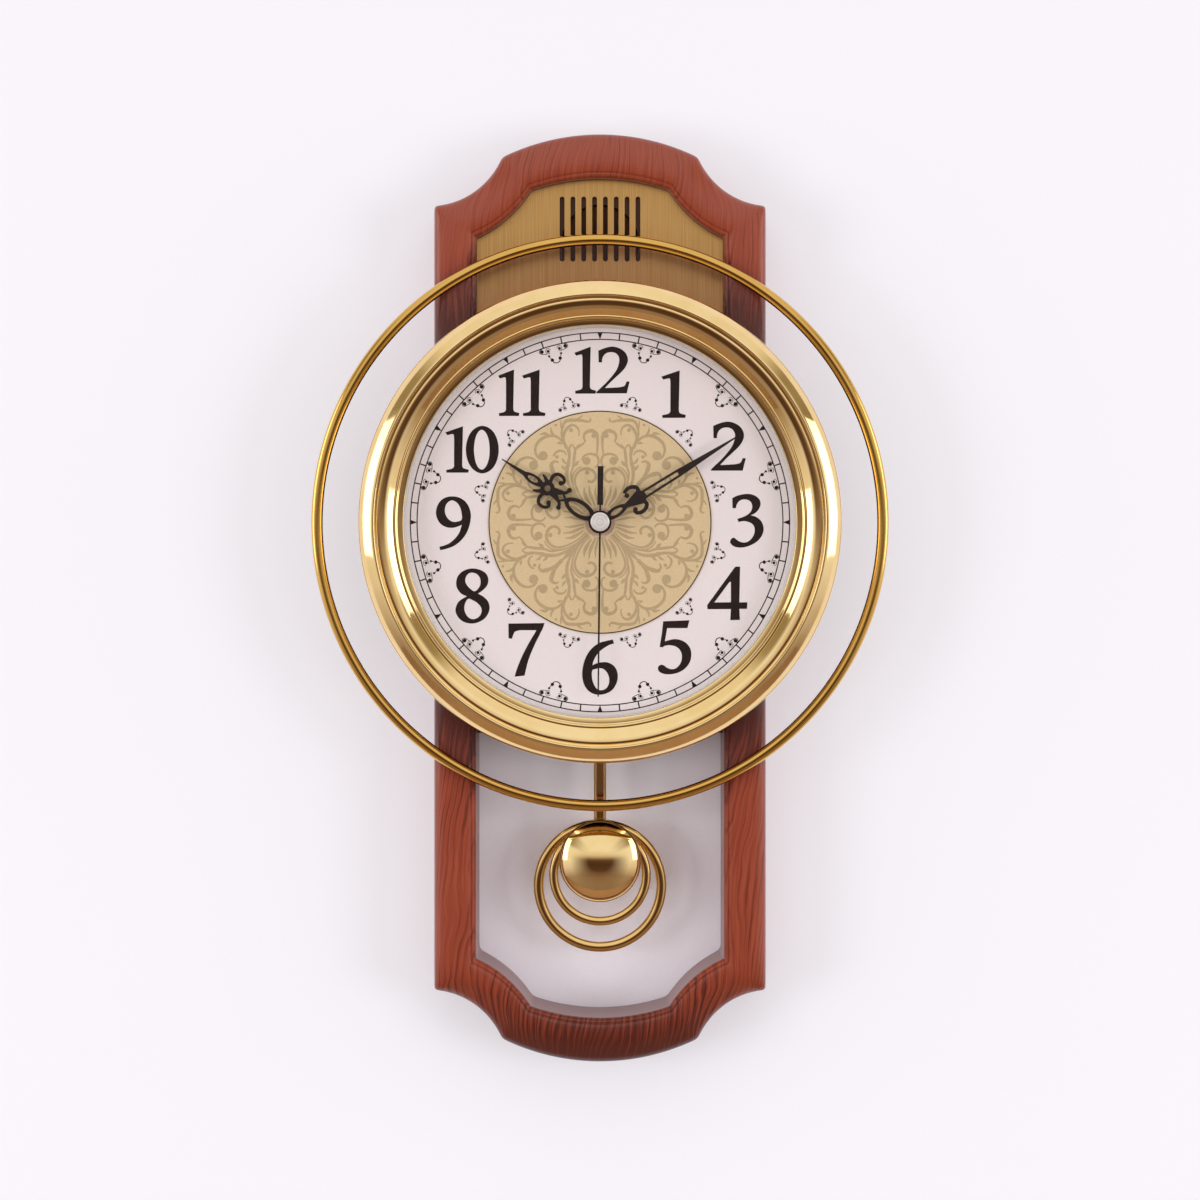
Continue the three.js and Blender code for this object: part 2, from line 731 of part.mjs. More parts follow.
function grillePlate() {
  const endSteps = 4;
  const straight = slotLength / 2 - slotWidth / 2;
  const slots = Array.from({ length: slotCount }, (_, i) => {
    const x = (i - (slotCount - 1) / 2) * slotPitch;
    const end = (start, y) =>
      Array.from({ length: endSteps + 1 }, (__, k) =>
        polar(slotWidth / 2, start + (180 * k) / endSteps).add(point(x, slotY + y)),
      );
    return [...end(0, straight), ...end(180, -straight)];
  });
  return plate(windowAbove(dialY + spigotOuter + grilleGap), slots, grilleBack, grilleFront);
}

const speakerFront = baffleBack - seat;
const throatRadius = magnetRadius + basketWall;

function speakerFrame() {
  const back = speakerFront - basketDepth;
  return turned(
    [
      [coneRadius, speakerFront],
      [speakerRadius, speakerFront],
      [speakerRadius, speakerFront - basketWall],
      [coneRadius + basketWall, speakerFront - basketWall],
      [throatRadius, back + basketWall],
      [throatRadius, back],
      [throatRadius / 2, back],
      [throatRadius / 2, back + basketWall],
      [throatRadius - basketWall, back + basketWall],
      [coneRadius, speakerFront - basketWall],
    ],
    bigSides / 2,
  );
}

function speakerCone() {
  const coneWall = 0.9;
  const rim = coneRadius - 2 * seat;
  const neck = speakerFront - basketDepth / 2;
  const voice = throatRadius / 2;
  return turned(
    [
      [0, neck + coneWall],
      [voice, neck],
      [rim, speakerFront - seat],
      [rim, speakerFront - seat - coneWall],
      [voice, neck - coneWall],
      [0, neck],
    ],
    bigSides / 2,
  );
}

function speakerMagnet() {
  const front = speakerFront - basketDepth - seat;
  return disc(magnetRadius, front - magnetDepth, front, bigSides / 2);
}

piece('baffle_plate', bafflePlate(), brownBoard);
piece('grille_plate', grillePlate(), brushedGold);
piece('speaker_frame', speakerFrame(), zincSteel, 0, speakerY);
piece('speaker_cone', speakerCone(), paperCone, 0, speakerY);
piece('speaker_magnet', speakerMagnet(), darkMagnet, 0, speakerY);

// Clear sheet and its gold rim
const haloMiddle = haloRadius - haloTube / 2;
const haloInner = haloRadius - haloTube;

function haloRing() {
  const arcSteps = 9;
  const half = haloTube / 2;
  const middleZ = (haloBack + haloFront) / 2;
  const notchHalf = haloThick / 2 + seat;
  const mouth = Math.PI - Math.asin(notchHalf / half);
  const profile = [];
  for (let i = 0; i <= arcSteps; i += 1) {
    const turn = -mouth + (2 * mouth * i) / arcSteps;
    profile.push([haloMiddle + half * Math.cos(turn), middleZ + half * Math.sin(turn)]);
  }
  const floor = haloInner + haloBite + seat;
  profile.push([floor, middleZ + notchHalf], [floor, middleZ - notchHalf]);
  return turned(profile);
}

const haloGlass = ringPlate(spigotOuter + seat, haloInner + haloBite, haloBack, haloFront);
piece('halo_glass', haloGlass, clearGlass, 0, dialY);
piece('halo_ring', haloRing(), polishedGold, 0, dialY);

// Dial pan, bezel, dial and its glass
const dialRadius = lipRadius + dialEdge;
const dialBore = bushRadius + seat;
const spacerInner = lipRadius + spacerSetback;

function dialPan() {
  const rimInner = panRadius - panRimWall;
  const pan = turned([
    [dialBore, panBack],
    [spigotInner, panBack],
    [spigotInner, spigotBack],
    [spigotOuter, spigotBack],
    [spigotOuter, panBack],
    [panRadius, panBack],
    [panRadius, panFront + panRim],
    [rimInner, panFront + panRim],
    [rimInner, panFront],
    [dialBore, panFront],
  ]);
  return cut(
    pan,
    ...panScrewPlaces.map(({ x, y }) => screwHole(x, y - dialY, panScrewHead, 1, panScrewShank)),
  );
}

function bezelRing() {
  const bezelDepth = bezelFront - panBack;
  const rollInner = bezelRadius - rollWidth;
  const grooveInner = rollInner - grooveWidth;
  const slopeInner = grooveInner - innerRollWidth;
  const rollFall = 2.2;
  const grooveSide = 1.2;
  const lipFront = lipBack + lipThick;
  return turned([
    [bezelRadius - 1, panBack],
    [bezelRadius, panBack + bezelDepth * 0.25],
    [bezelRadius - 0.7, panBack + bezelDepth * 0.66],
    [bezelRadius - rollWidth * 0.3, bezelFront - rollFall],
    [bezelRadius - rollWidth * 0.6, bezelFront],
    [rollInner, bezelFront - rollFall],
    [rollInner - grooveSide, bezelFront - rollFall - grooveDepth],
    [grooveInner + grooveSide, bezelFront - rollFall - grooveDepth],
    [grooveInner, bezelFront - rollFall],
    [grooveInner - innerRollWidth * 0.3, bezelFront - rollFall],
    [slopeInner, lipFront + lipThick],
    [lipRadius, lipFront],
    [lipRadius, lipBack],
    [bezelRadius - bezelWall, lipBack],
    [bezelRadius - bezelWall, panBack],
  ]);
}

piece('dial_pan', dialPan(), blackPlastic, 0, dialY);
panScrewPlaces.forEach(({ x, y }, i) => {
  piece(`pan_screw_${i + 1}`, screw(panScrewHead, 1, panScrewShank), zincSteel, x, y);
});
piece('bezel', bezelRing(), polishedGold, 0, dialY);
const dialPlate = ringPlate(dialBore, dialRadius, panFront + seat, dialFront);
const medallion = ringPlate(dialBore, medallionRadius, dialFront + seat, medallionFront);
const spacerRing = ringPlate(spacerInner, spacerInner + spacerWall, dialFront + seat, glassBack - seat);
const dialGlass = disc(lipRadius + glassBite, glassBack, glassFront);
piece('dial_plate', dialPlate, dialSilver, 0, dialY);
piece('dial_medallion', medallion, medallionTan, 0, dialY);
piece('glass_spacer_ring', spacerRing, whitePlastic, 0, dialY);
piece('dial_glass', dialGlass, clearGlass, 0, dialY);

// Movement: a front case with the bush, a rear cover and a bridge for the train
const bridgeTop = Math.max(rotorAt.y, secondArborRadius) + bridgeEdge;
const bridgeBottom = partitionTop + seat;
const bridgeHalf = cavityHalf - seat;
const bridgePostX = bridgeHalf - postRadius - seat;
const bridgePostY = bridgeBottom + postRadius + seat;
const boardHalf = coilLength / 2 + coilRadius;
const boardBack = centreLayer;
const boardPostX = boardHalf - postRadius - seat;
const motionPostRadius = secondArborRadius;

function movementFrontCase() {
  const shell = cut(
    block(-movementHalf, movementHalf, movementBottom, movementTop, coverBack, movementFront),
    block(-cavityHalf, cavityHalf, partitionTop, cavityTop, coverBack - 1, trainFront),
    block(-bayLength / 2, bayLength / 2, bayTop - bayHeight, bayTop, coverBack - 1, coverBack + bayHeight),
  );
  const rooted = trainFront + movementWall / 2; // posts and bush grow out of the front wall
  const bush = plate(circle(bushRadius, bigSides / 2), [], rooted, nutFront + seat);
  const bridgePosts = [1, -1].map((side) =>
    rod(postRadius, side * bridgePostX, bridgePostY, bridgeFront + seat, rooted),
  );
  const boardPosts = [1, -1].map((side) =>
    rod(postRadius, side * boardPostX, boardTop - postRadius, boardBack + boardThick + seat, rooted),
  );
  const motionPost = rod(motionPostRadius, motionAt.x, motionAt.y, motionLayer - layerGap / 4, rooted);
  const pipeBore = rod(bushBore, 0, 0, coverBack, nutFront + movementWall);
  return cut(join(shell, bush, motionPost, ...bridgePosts, ...boardPosts), pipeBore);
}

const knobFront = coverBack - seat;
const switchPlateFront = coverFront + seat + switchPlateThick;

function movementRearCover() {
  const half = cavityHalf - seat;
  const outlinePoints = rectangle(-half, half, partitionTop + seat, cavityTop - seat);
  const settingHole = circle(bore(arborRadius), smallSides, settingAt.x, settingAt.y);
  const pivotHole = circle(bore(pivotRadius, seat), smallSides, 0, pivotY);
  const switchSlot = rectangle(
    switchX - switchLength / 2 - seat,
    switchX + switchLength / 2 + switchTravel + seat,
    switchY - switchHeight / 2 - seat,
    switchY + switchHeight / 2 + seat,
  );
  const postX = statorLegX + statorBar / 2;
  const statorPosts = [1, -1].map((side) =>
    rod(postRadius, side * postX, coilY, coverFront - coverThick / 2, statorBack - seat),
  );
  const flatCover = plate(outlinePoints, [settingHole, pivotHole, switchSlot], coverBack, coverFront);
  return join(flatCover, ...statorPosts);
}

function trainBridge() {
  const outlinePoints = rectangle(-bridgeHalf, bridgeHalf, bridgeBottom, bridgeTop);
  const holes = [
    circle(bore(secondArborRadius)),
    ...[fifthAt, rotorAt, thirdAt].map(({ x, y }) => circle(bore(arborRadius), smallSides, x, y)),
  ];
  const settingPath = rod(bore(arborRadius), settingAt.x, settingAt.y, bridgeBack - 1, bridgeFront + 1);
  return cut(plate(outlinePoints, holes, bridgeBack, bridgeFront), settingPath);
}

piece('movement_front_case', movementFrontCase(), blackPlastic, 0, dialY);
piece('movement_rear_cover', movementRearCover(), blackPlastic, 0, dialY);
piece('train_bridge', trainBridge(), whitePlastic, 0, dialY);
const nut = ringPlate(bushRadius + seat, nutRadius, medallionFront + seat, nutFront, bigSides / 2);
piece('mounting_nut', nut, copper, 0, dialY);

// Motor: stator round the rotor, with its coil across the top

function stator() {
  const top = coilY + coilRadius / 2;
  const front = statorBack + statorThick;
  const barBottom = statorBarY - statorBar / 2;
  const barTop = statorBarY + statorBar / 2;
  const rightLeg = statorLegX + statorBar;
  return cut(
    join(
      plate(circle(statorOuter, smallSides, rotorAt.x, rotorAt.y), [], statorBack, front),
      block(-rightLeg, rightLeg, barBottom, barTop, statorBack, front),
      block(-rightLeg, -statorLegX, barBottom, top, statorBack, front),
      block(statorLegX, rightLeg, rotorAt.y, top, statorBack, front),
    ),
    plate(circle(statorBore, smallSides, rotorAt.x, rotorAt.y), [], statorBack - 1, front + 1),
  );
}

function driveCoil() {
  const half = coilLength / 2;
  const flange = 1.5;
  const winding = coilRadius - 0.6;
  const core = statorThick;
  const tail = statorLegX - seat;
  const profile = [
    [0, -tail],
    [core, -tail],
    [core, -half],
    [coilRadius, -half],
    [coilRadius, flange - half],
    [winding, flange - half],
    [winding, half - flange],
    [coilRadius, half - flange],
    [coilRadius, half],
    [core, half],
    [core, tail],
    [0, tail],
  ];
  return turned(profile, smallSides).rotateY(Math.PI / 2).translate(0, coilY, statorBack + statorThick / 2);
}

piece('stator', stator(), zincSteel, 0, dialY);
piece('drive_coil', driveCoil(), copper, 0, dialY);
const board = block(-boardHalf, boardHalf, boardBottom, boardTop, boardBack, boardBack + boardThick);
piece('circuit_board', board, greenBoard, 0, dialY);

// Battery and its two contacts in the bay behind the partition
const bayZ = coverBack + bayHeight / 2;
const contactHalf = batteryRadius * 0.7;
const batteryStart = -bayLength / 2 + contactThick + 2 * seat;

function battery() {
  const bodyEnd = batteryStart + batteryLength;
  const nubRadius = 2.7;
  const profile = [
    [0, batteryStart],
    [batteryRadius, batteryStart],
    [batteryRadius, bodyEnd],
    [nubRadius, bodyEnd],
    [nubRadius, bodyEnd + batteryNub],
    [0, bodyEnd + batteryNub],
  ];
  return turned(profile, 24).rotateY(Math.PI / 2).translate(0, bayY, bayZ);
}

function batteryContact(side) {
  const outer = side * (bayLength / 2 - seat);
  const edges = [outer, outer - side * contactThick].sort((a, b) => a - b);
  const [low, high] = [bayY - contactHalf, bayY + contactHalf];
  return block(edges[0], edges[1], low, high, bayZ - contactHalf, bayZ + contactHalf);
}

piece('battery', battery(), whitePlastic, 0, dialY);
piece('battery_contact_positive', batteryContact(1), brass, 0, dialY);
piece('battery_contact_negative', batteryContact(-1), brass, 0, dialY);

// Train: each arbor carries a wheel and a pinion, in mesh with its neighbours at rest
const arborBack = coverFront + seat;

const rotorPinion = pinion(rotorTeeth, rotorModule, rotorAngle + 180, fifthLayer);
const rotorMagnet = rod(rotorMagnetRadius, 0, 0, secondLayer, secondLayer + wheelThick);
const rearArbor = rod(arborRadius, 0, 0, arborBack, bridgeFront);
piece('rotor', join(rotorPinion, rotorMagnet, rearArbor), darkMagnet, rotorAt.x, dialY + rotorAt.y);

const fifthWheel = wheel(fifthTeeth, rotorModule, meshPhase(fifthTeeth, rotorAngle + 180), fifthLayer);
const fifthPinion = pinion(fifthPinionTeeth, fifthModule, fifthAngle + 180, secondLayer);
piece('fifth_wheel', join(fifthWheel, fifthPinion, rearArbor), whitePlastic, fifthAt.x, dialY + fifthAt.y);

const secondArborFront = secondHandBack + handThick;
const secondWheel = wheel(secondTeeth, fifthModule, meshPhase(secondTeeth, fifthAngle + 180), secondLayer);
const secondPinion = pinion(secondPinionTeeth, thirdModule, thirdAngle, thirdLayer);
const secondArbor = rod(secondArborRadius, 0, 0, arborBack, secondArborFront);
piece('second_wheel', join(secondWheel, secondPinion, secondArbor), whitePlastic, 0, dialY);

const thirdWheel = wheel(thirdTeeth, thirdModule, meshPhase(thirdTeeth, thirdAngle), thirdLayer);
const thirdPinion = pinion(thirdPinionTeeth, centreModule, thirdAngle + 180, centreLayer);
const thirdArbor = rod(arborRadius, 0, 0, bridgeBack, trainFront - seat);
piece('third_wheel', join(thirdWheel, thirdPinion, thirdArbor), whitePlastic, thirdAt.x, dialY + thirdAt.y);

const centreWheel = wheel(centreTeeth, centreModule, meshPhase(centreTeeth, thirdAngle + 180), centreLayer);
const cannonPinion = pinion(cannonTeeth, motionModule, motionAngle, motionLayer);
const minutePipe = rod(minutePipeRadius, 0, 0, centreLayer, minuteHandBack + handThick);
const minuteBoreCut = rod(minuteBore, 0, 0, centreLayer - 1, minuteHandBack + handThick + 1);
piece('centre_wheel', cut(join(centreWheel, cannonPinion, minutePipe), minuteBoreCut), brass, 0, dialY);

const motionPhase = meshPhase(motionTeeth, motionAngle);
const motionWheel = wheel(motionTeeth, motionModule, motionPhase, motionLayer);
const motionPinion = pinion(motionPinionTeeth, hourModule, motionAngle + 180, hourLayer);
const motionHub = rod(motionPostRadius + 2 * running, 0, 0, motionLayer, hourLayer + wheelThick);
const motionBore = rod(bore(motionPostRadius), 0, 0, motionLayer - layerGap, trainFront);
const motionPair = cut(join(motionWheel, motionPinion, motionHub), motionBore);
piece('motion_wheel', motionPair, whitePlastic, motionAt.x, dialY + motionAt.y);

const hourWheel = wheel(hourTeeth, hourModule, meshPhase(hourTeeth, motionAngle + 180), hourLayer);
const hourPipe = rod(hourPipeRadius, 0, 0, hourLayer, hourHandBack + handThick);
const hourBoreCut = rod(hourBore, 0, 0, hourLayer - 1, hourHandBack + handThick + 1);
piece('hour_wheel', cut(join(hourWheel, hourPipe), hourBoreCut), whitePlastic, 0, dialY);

// Setting knob: its pinion turns the motion wheel and its arbor comes out behind the movement
const settingPhase = meshPhase(settingTeeth, settingAngle, motionTeeth, motionPhase);
const settingPinion = pinion(settingTeeth, motionModule, settingPhase, motionLayer);
const settingArbor = rod(arborRadius, 0, 0, knobFront - knobLength / 2, trainFront - seat);
const knob = plate(gearOutline(16, (2 * knobRadius) / 18, 0, true), [], knobFront - knobLength, knobFront);
const settingPiece = join(settingPinion, settingArbor, knob);
piece('setting_knob', settingPiece, blackPlastic, settingAt.x, dialY + settingAt.y);

// Chime switch: a slide in the rear cover
const switchHalf = switchLength / 2;
const switchSide = switchHeight / 2;
const switchBack = coverBack - switchReach;
const switchStem = block(-switchHalf, switchHalf, -switchSide, switchSide, switchBack, switchPlateFront);
const switchPlate = block(
  -switchHalf - switchFlange,
  switchHalf + switchFlange,
  -switchSide - switchFlange / 2,
  switchSide + switchFlange / 2,
  coverFront + seat,
  switchPlateFront,
);
piece('chime_switch', join(switchStem, switchPlate), whitePlastic, switchX, dialY + switchY);

// Hands, drawn pointing up with sizes in hundredths of their length, and turned to the time
const hourLength = lipRadius - hourTipGap;
const minuteLength = lipRadius - minuteTipGap;
const secondLength = lipRadius - secondTipGap;
const hubSides = 18;
const curlSteps = 5;

function drawn(length, back) {
  const front = back + handThick;
  const scaled = (points) => points.map(([x, y]) => point((x * length) / 100, (y * length) / 100));
  const mirrored = (points) => points.map(([x, y]) => [-x, y]);
  return {
    flat: (outer, ...holes) => plate(scaled(outer), holes.map(scaled), back, front),
    bothSides: (points, width) =>
      [points, mirrored(points)].map((side) =>
        band(scaled(side), (width * length) / 100, curlSteps, back, front),
      ),
    hub: plate(circle(hubRadius, hubSides), [], back, front),
    hole: (radius) => rod(bore(radius, seat / 2), 0, 0, back - 1, front + 1),
  };
}

const leafOval = (...sizes) => oval(...sizes).map(({ x, y }) => [x, y]);
const ringOf = (radius, sides, y) => circle(radius, sides, 0, y).map((p) => [p.x, p.y]);

function hourHand() {
  const { flat, bothSides, hub, hole } = drawn(hourLength, hourHandBack);
  const leaf = flat(leafOval(5, 36, 7.2), leafOval(11.4, 30.8, 4));
  const diamond = flat(
    [[0, 33], [4, 40], [0, 49.5], [-4, 40]],
    [[0, 37.4], [1.8, 40], [0, 42.8], [-1.8, 40]],
  );
  const heart = flat(ringOf(6.9, 12, 53.3), ringOf(2.1, 8, 53.3));
  const eye = flat(leafOval(57, 79.5, 4.3), leafOval(63.5, 73.7, 1.9));
  const needle = flat([[2.4, 75], [0.5, 100], [-0.5, 100], [-2.4, 75]]);
  const scrolls = bothSides([[4.5, 54.8], [9.9, 57.8], [15, 53.3], [14, 45.8], [9, 45]], 2.6);
  const hooks = bothSides([[4.8, 57], [7.2, 60], [8.7, 63.2]], 2.6);
  const arms = bothSides([[3.6, 49.4], [4.5, 42.2], [6.6, 38.6], [10.2, 35.6]], 2.6);
  const solidHand = join(hub, leaf, diamond, heart, eye, needle, ...scrolls, ...hooks, ...arms);
  return cut(solidHand, hole(hourPipeRadius)).rotateZ(radians(hourAngle));
}

function minuteHand() {
  const { flat, bothSides, hub, hole } = drawn(minuteLength, minuteHandBack);
  const leaf = flat(leafOval(2.7, 21.3, 3.6), leafOval(8.5, 16.4, 1.8));
  const body = flat([[1.2, 16.4], [3.7, 30.2], [0, 32.8], [-3.7, 30.2], [-1.2, 16.4]]);
  const blade = flat(
    [[3, 29.5], [2.7, 57], [0.45, 100], [-0.45, 100], [-2.7, 57], [-3, 29.5]],
    [[-1.3, 33.5], [1.3, 33.5], [1.3, 55.8], [-1.3, 55.8]],
  );
  const scrolls = bothSides([[1.7, 28.9], [5.9, 30], [8.8, 26.7], [8.1, 21.7], [5.2, 21.4]], 2);
  return cut(join(hub, leaf, body, blade, ...scrolls), hole(minutePipeRadius)).rotateZ(radians(minuteAngle));
}

function secondHand() {
  const back = secondHandBack;
  const front = back + handThick;
  const hub = plate(circle(capRadius - 0.6, smallSides), [], back, front);
  const needle = block(-secondWidth / 2, secondWidth / 2, -tailStart - 1, secondLength, back, front);
  const tail = block(-tailWidth / 2, tailWidth / 2, -tailLength, -tailStart, back, front);
  const { hole } = drawn(secondLength, back);
  return cut(join(hub, needle, tail), hole(secondArborRadius)).rotateZ(radians(secondAngle));
}

piece('hour_hand', hourHand(), handBlack, 0, dialY);
piece('minute_hand', minuteHand(), handBlack, 0, dialY);
piece('second_hand', secondHand(), handBlack, 0, dialY);
const cap = disc(capRadius, capBack, capFront, hubSides);
piece('hand_cap', cap, spunSteel, 0, dialY);

// Pendulum: a hanger with a magnet on the movement's pivot, the rod, two rings and the dome
const magnetFront = coverBack - pendulumGap;
const magnetBack = magnetFront - pendulumMagnetThick;
const armFront = magnetBack - seat;
const armBack = armFront - hangerArmThick;
const rodFront = armBack - seat;
const rodBack = rodFront - rodThick;
const pegY = pendulumCoilY - pendulumCoilRadius - pegRadius - 2 * seat;
const rodTopY = pegY + 2 * pegRadius + seat;
const rodBottomY = outerRingY - dialY + outerRingRadius - outerRingTube;

piece('pendulum_pivot', rod(pivotRadius, 0, 0, armBack - seat, coverFront), zincSteel, 0, dialY + pivotY);

const coilBore = pendulumCoilRadius / 2;
const pendulumCoil = ringPlate(coilBore, pendulumCoilRadius, arborBack, bridgeBack - seat, smallSides);
piece('pendulum_coil', pendulumCoil, copper, 0, dialY + pendulumCoilY);

function pendulumHanger() {
  const eye = plate(circle(hangerArmWidth / 2 + running, smallSides, 0, pivotY), [], armBack, armFront);
  const arm = block(-hangerArmWidth / 2, hangerArmWidth / 2, pegY - 2 * pegRadius, pivotY, armBack, armFront);
  const peg = rod(pegRadius, 0, pegY, rodBack, armBack + 1);
  return cut(join(eye, arm, peg), rod(bore(pivotRadius), 0, pivotY, armBack - 1, armFront + 1));
}

function pendulumRod() {
  const half = rodWidth / 2;
  const web = half - rodEdge;
  const section = [
    point(-half, -rodBack),
    point(-half, -rodFront),
    point(-web, -rodFront),
    point(-web, rodGroove - rodFront),
    point(web, rodGroove - rodFront),
    point(web, -rodFront),
    point(half, -rodFront),
    point(half, -rodBack),
  ];
  const depth = rodTopY - rodBottomY;
  const strip = new THREE.ExtrudeGeometry(new THREE.Shape(section), { depth, bevelEnabled: false });
  const upright = solid(strip.rotateX(-Math.PI / 2).translate(0, rodBottomY, 0));
  return cut(upright, rod(bore(pegRadius, seat / 2), 0, pegY, rodBack - 1, rodFront + 1));
}

const outerRingZ = rodFront + seat + outerRingDepth / 2;
const middleRingZ = outerRingZ + outerRingDepth / 2 + seat + middleRingDepth / 2;
const domeBack = middleRingZ + middleRingDepth / 2 + seat;
const ringSides = 8;

function bobRing(radius, tube, depth, z) {
  return turned(ellipse(tube / 2, depth / 2, radius - tube / 2, z, ringSides), 32);
}

function bobDome() {
  const steps = 5;
  const radius = (domeRadius * domeRadius + domeHeight * domeHeight) / (2 * domeHeight);
  const sweep = Math.asin(domeRadius / radius);
  const profile = [[0, domeBack], [domeRadius, domeBack]];
  for (let i = 0; i <= steps; i += 1) {
    const turn = sweep * (1 - i / steps);
    profile.push([radius * Math.sin(turn), domeBack + domeRim + domeHeight - radius * (1 - Math.cos(turn))]);
  }
  profile[profile.length - 1][0] = 0;
  return turned(profile, 32);
}

piece('pendulum_hanger', pendulumHanger(), blackPlastic, 0, dialY);
const swingMagnet = plate(circle(pendulumCoilRadius, smallSides), [], magnetBack, magnetFront);
piece('pendulum_magnet', swingMagnet, darkMagnet, 0, dialY + pendulumCoilY);
piece('pendulum_rod', pendulumRod(), polishedGold, 0, dialY);
const outerRing = bobRing(outerRingRadius, outerRingTube, outerRingDepth, outerRingZ);
const middleRing = bobRing(middleRingRadius, middleRingTube, middleRingDepth, middleRingZ);
piece('bob_outer_ring', outerRing, polishedGold, 0, outerRingY);
piece('bob_middle_ring', middleRing, polishedGold, 0, middleRingY);
piece('bob_dome', bobDome(), polishedGold, 0, domeY);

export default clock;
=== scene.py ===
import math

import bmesh
import bpy
import numpy as np
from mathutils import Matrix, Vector
from mathutils.geometry import delaunay_2d_cdt


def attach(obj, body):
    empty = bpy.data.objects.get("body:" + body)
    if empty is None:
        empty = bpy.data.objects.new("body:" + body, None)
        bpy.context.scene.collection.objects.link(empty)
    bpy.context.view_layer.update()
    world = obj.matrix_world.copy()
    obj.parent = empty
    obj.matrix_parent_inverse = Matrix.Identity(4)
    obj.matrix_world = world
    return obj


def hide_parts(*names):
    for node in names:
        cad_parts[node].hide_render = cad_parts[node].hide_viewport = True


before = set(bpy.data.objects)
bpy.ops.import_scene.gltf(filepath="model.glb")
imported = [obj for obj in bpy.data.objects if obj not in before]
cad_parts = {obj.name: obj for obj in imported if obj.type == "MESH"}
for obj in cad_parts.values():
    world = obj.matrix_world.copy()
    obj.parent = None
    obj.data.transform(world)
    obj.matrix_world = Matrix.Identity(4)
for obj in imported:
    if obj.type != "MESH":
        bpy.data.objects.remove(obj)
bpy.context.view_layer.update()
mm = 0.001
dialAxis = (0.0, -178.5)  # x and z of the line that the dial and hands turn about, in mm
caseMiddle = -222.0  # z of the middle of the case
finishes = {}  # materials by name


# one sRGB channel c turns linear as c / 12.92 when dark, else ((c + 0.055) / 1.055) to the power 2.4
def linear(hexColour):
    channel = np.array([int(hexColour[i : i + 2], 16) for i in (1, 3, 5)]) / 255
    flat = np.where(channel <= 0.04045, channel / 12.92, ((channel + 0.055) / 1.055) ** 2.4)
    return (*flat.tolist(), 1.0)


# gives each socket its value, or links it to another node's output
def fillSockets(node, sockets):
    for name, value in sockets.items():
        if isinstance(value, bpy.types.NodeSocket):
            node.id_data.links.new(value, node.inputs[name])
        else:
            node.inputs[name].default_value = value


# adds one node, sets its attributes and sockets, and returns one of its outputs
def addNode(tree, kind, sockets=None, out=0, **attributes):
    node = tree.nodes.new("ShaderNode" + kind)
    for name, value in attributes.items():
        setattr(node, name, value)
    fillSockets(node, sockets or {})
    return node.outputs[out]


# puts hex colours at places along the colour ramp that an output comes from
def setStops(output, stops):
    ramp = output.node.color_ramp
    while len(ramp.elements) < len(stops):
        ramp.elements.new(1.0)
    for element, (place, shade) in zip(ramp.elements, stops):
        element.position = place
        element.color = linear(shade)


def newFinish(name, sockets):
    finishes[name] = material = bpy.data.materials.new(name)
    material.use_nodes = True
    surface = material.node_tree.nodes["Principled BSDF"]
    fillSockets(surface, sockets)
    return material.node_tree, surface


# Two shades mixed by noise of a real size in mm, the same all ways or along x, y and z. The same noise sets
# how rough the surface is between its two limits, and lifts it by a small bump.
def grainedFinish(name, shades, grain, rough, bump, sockets):
    tree, surface = newFinish(name, sockets)
    place = addNode(tree, "TexCoord", out="Object")
    scale = (1000 / np.broadcast_to(grain, 3)).tolist()
    stretched = addNode(tree, "Mapping", {"Vector": place, "Scale": scale})
    noise = addNode(tree, "TexNoise", {"Vector": stretched, "Scale": 1.0, "Detail": 3.0}, "Fac")
    tone = addNode(tree, "ValToRGB", {"Fac": noise})
    setStops(tone, list(zip((0.32, 0.68), shades.split())))
    limits = {"From Min": 0.3, "From Max": 0.7, "To Min": rough[0], "To Max": rough[1]}
    wear = addNode(tree, "MapRange", {"Value": noise, **limits})
    lift = addNode(tree, "Bump", {"Height": noise, "Strength": bump, "Distance": 0.2 * mm})
    fillSockets(surface, {"Base Color": tone, "Roughness": wear, "Normal": lift})
    return tree, surface, tone


# quads of a grid whose point (row, column) is number row * columns + column
def gridFaces(rows, columns, wrapRows=False, wrapColumns=False):
    row = np.arange(rows if wrapRows else rows - 1)[:, None]
    column = np.arange(columns if wrapColumns else columns - 1)[None, :]
    nextRow = (row + 1) % rows
    nextColumn = (column + 1) % columns
    corners = (
        row * columns + column,
        row * columns + nextColumn,
        nextRow * columns + nextColumn,
        nextRow * columns + column,
    )
    return np.stack(corners, -1).reshape(-1, 4)


# Catmull-Rom: each span leaves its point along the line between that point's two neighbours
def smoothLine(points, perSpan=6, closed=False):
    points = np.asarray(points, float)
    if closed:
        padded = np.vstack((points[-1:], points, points[:2]))
    else:
        padded = np.vstack((2 * points[0] - points[1], points, 2 * points[-1] - points[-2]))
    a, b, c, d = (padded[i : len(padded) - 3 + i] for i in range(4))
    t = np.arange(perSpan)[:, None, None] / perSpan
    line = b + 0.5 * t * ((c - a) + t * (2 * a - 5 * b + 4 * c - d + t * (3 * b - a - 3 * c + d)))
    line = line.transpose(1, 0, 2).reshape(-1, points.shape[1])
    return line if closed else np.vstack((line, points[-1:]))


# A closed outline of equal steps, averaged over `blur` with Gaussian weights, which the Fourier transform
# applies as exp(-2 (pi blur k / length) ** 2)
def softened(line, blur, step):
    flat = line[:, 0] + 1j * line[:, 1]
    waves = np.fft.fft(flat) * np.exp(-2 * (math.pi * blur * np.fft.fftfreq(len(flat), step)) ** 2)
    flat = np.fft.ifft(waves)
    return np.stack((flat.real, flat.imag), 1)


